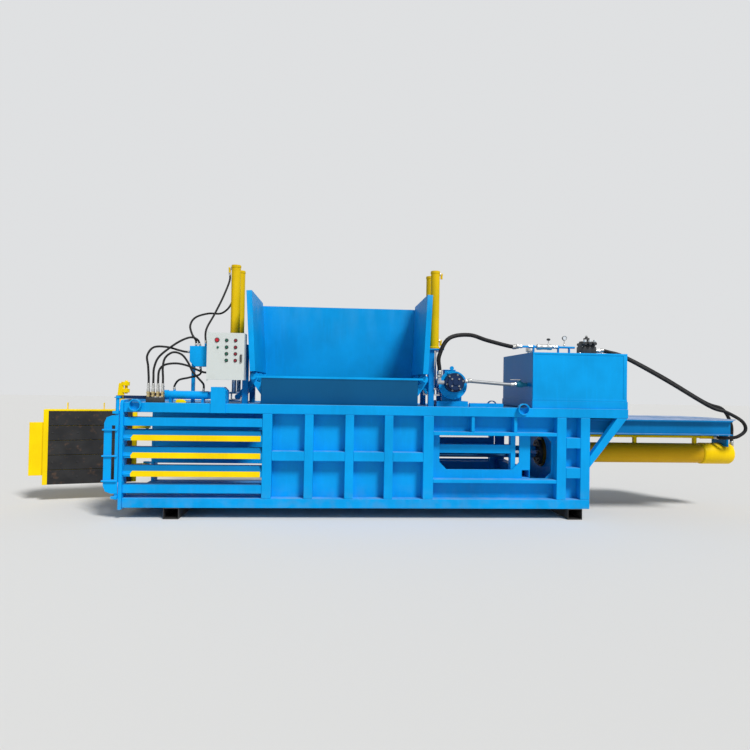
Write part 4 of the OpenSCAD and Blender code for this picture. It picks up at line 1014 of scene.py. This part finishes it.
cylinderSettings = {
    "glandX": 4.570, "glandBolts": 12, "glandRadius": 0.121, "glandBolt": (0.024, 0.014),
    "capBack": 0.020,
    "capRing": [(0.130, 0), (0.138, 0.004), (0.1415, 0.012), (0.138, 0.020), (0.130, 0.024)],
    "headDown": 0.034, "headRing": [(0.056, 0), (0.0615, 0.003), (0.0615, 0.026), (0.056, 0.030)],
    "footZ": 2.092, "footRing": [(0.056, 0), (0.066, 0.004), (0.060, 0.014), (0.056, 0.016)],
    "highPort": 0.040, "lowPortZ": 2.180, "portOut": 0.0585, "port": (0.036, 0.016),
    "elbowOut": 0.081, "elbowZ": 2.118,
    "elbow": [(0, 0), (0.015, 0), (0.015, 0.020), (0.011, 0.030), (0, 0.032)],
    "spout": 0.011, "spoutOut": (0.078, 0.117), "spoutZ": 2.095,
}


def cylinderDetails(s):
    # painted shade: the gland bolts are black to stand for the shade in the body's window
    bolts = Shape()
    for i in range(s["glandBolts"]):
        a = 2 * pi * i / s["glandBolts"]
        at = (s["glandX"], s["glandRadius"] * cos(a), axisZ + s["glandRadius"] * sin(a))
        bolts.hexagon(*s["glandBolt"], at, leftwards)
    bolts.finish("gland-bolts", blackPaint)
    rightX = places["rightPressX"]
    rings = Shape()
    rings.turned(s["capRing"], (capX - s["capBack"], 0, axisZ), alongX, 48)
    for x in (pressX, rightX):
        for y in (-pressY, pressY):
            rings.turned(s["headRing"], (x, y, pressTop - s["headDown"]), alongZ, 36)
            rings.turned(s["footRing"], (x, y, s["footZ"]), alongZ, 36)
    rings.finish("weld-rings", pressPaint)
    nuts = Shape()
    for x, side in ((pressX, -1), (rightX, 1)):
        for y in (-pressY, pressY):
            for z in (pressTop - s["highPort"], s["lowPortZ"]):
                nuts.hexagon(*s["port"], (x + side * s["portOut"], y, z), (side, 0, 0))
    # elbow that turns a thin hose away from the lower port, above the stand
    nuts.turned(s["elbow"], (pressX - s["elbowOut"], -pressY, s["elbowZ"]), down, 24)
    near, far = (pressX - out for out in s["spoutOut"])
    nuts.bar(s["spout"], (near, -pressY, s["spoutZ"]), (far, -pressY, s["spoutZ"]))
    nuts.finish("port-nuts", galvanised)


cylinderDetails(cylinderSettings)


# Bale door liner bolts; the door stands open, so they are turned with it

doorSettings = {
    "hinge": (-0.720, 0.740), "open": 74, "face": 0.1135, "low": 0.222, "high": 1.188,
    "rows": 5, "across": (-0.250, -0.520, -0.860, -1.160),
    "head": [(0, 0.0035), (0.004, 0.0035), (0.012, 0.0025), (0.015, 0), (0, 0)],
}


def doorDetails(s):
    pose = Matrix.Translation((*s["hinge"], 0)) @ Matrix.Rotation(-radians(s["open"]), 4, "Z")
    outward = pose.to_3x3() @ Vector(alongX)
    pitch = (s["high"] - s["low"]) / s["rows"]
    heads = Shape()
    for i in range(s["rows"]):
        for y in s["across"]:
            at = pose @ Vector((s["face"], y, s["low"] + pitch * (i + 0.5)))
            heads.turned(s["head"], at, outward, 16)
    heads.finish("liner-bolts", linerSteel, "bale_door")


doorDetails(doorSettings)


# Small gusset tabs between the end frame and the strap strips

tabSettings = {
    "heights": (0.936, 0.732, 0.518), "sides": ((-0.699, -0.640), (0.640, 0.699)),
    "outline": [(-0.560, -0.010), (-0.474, -0.002), (-0.474, 0.006), (-0.560, 0.024)],
}


def strapTabs(s):
    tabs = Shape()
    for middle in s["heights"]:
        for near, far in s["sides"]:
            tabs.prism([(x, middle + z) for x, z in s["outline"]], near, far, 0.001)
    tabs.finish("strap-tabs", bluePaint)


strapTabs(tabSettings)


# Yellow lug on the deck behind the near rail, below the lock cylinder

lugSettings = {
    "outline": [(0.000, -0.004), (0.120, -0.004), (0.120, 0.018), (0.084, 0.040), (0.020, 0.040),
                (0.000, 0.022)],
    "near": -0.596, "far": -0.584,
}


def deckLug(s):
    lug = Shape()
    lug.prism([(x, bodyTop + z) for x, z in s["outline"]], s["near"], s["far"], 0.002)
    lug.finish("deck-lug", yellowPaint)


deckLug(lugSettings)
print("details finished")
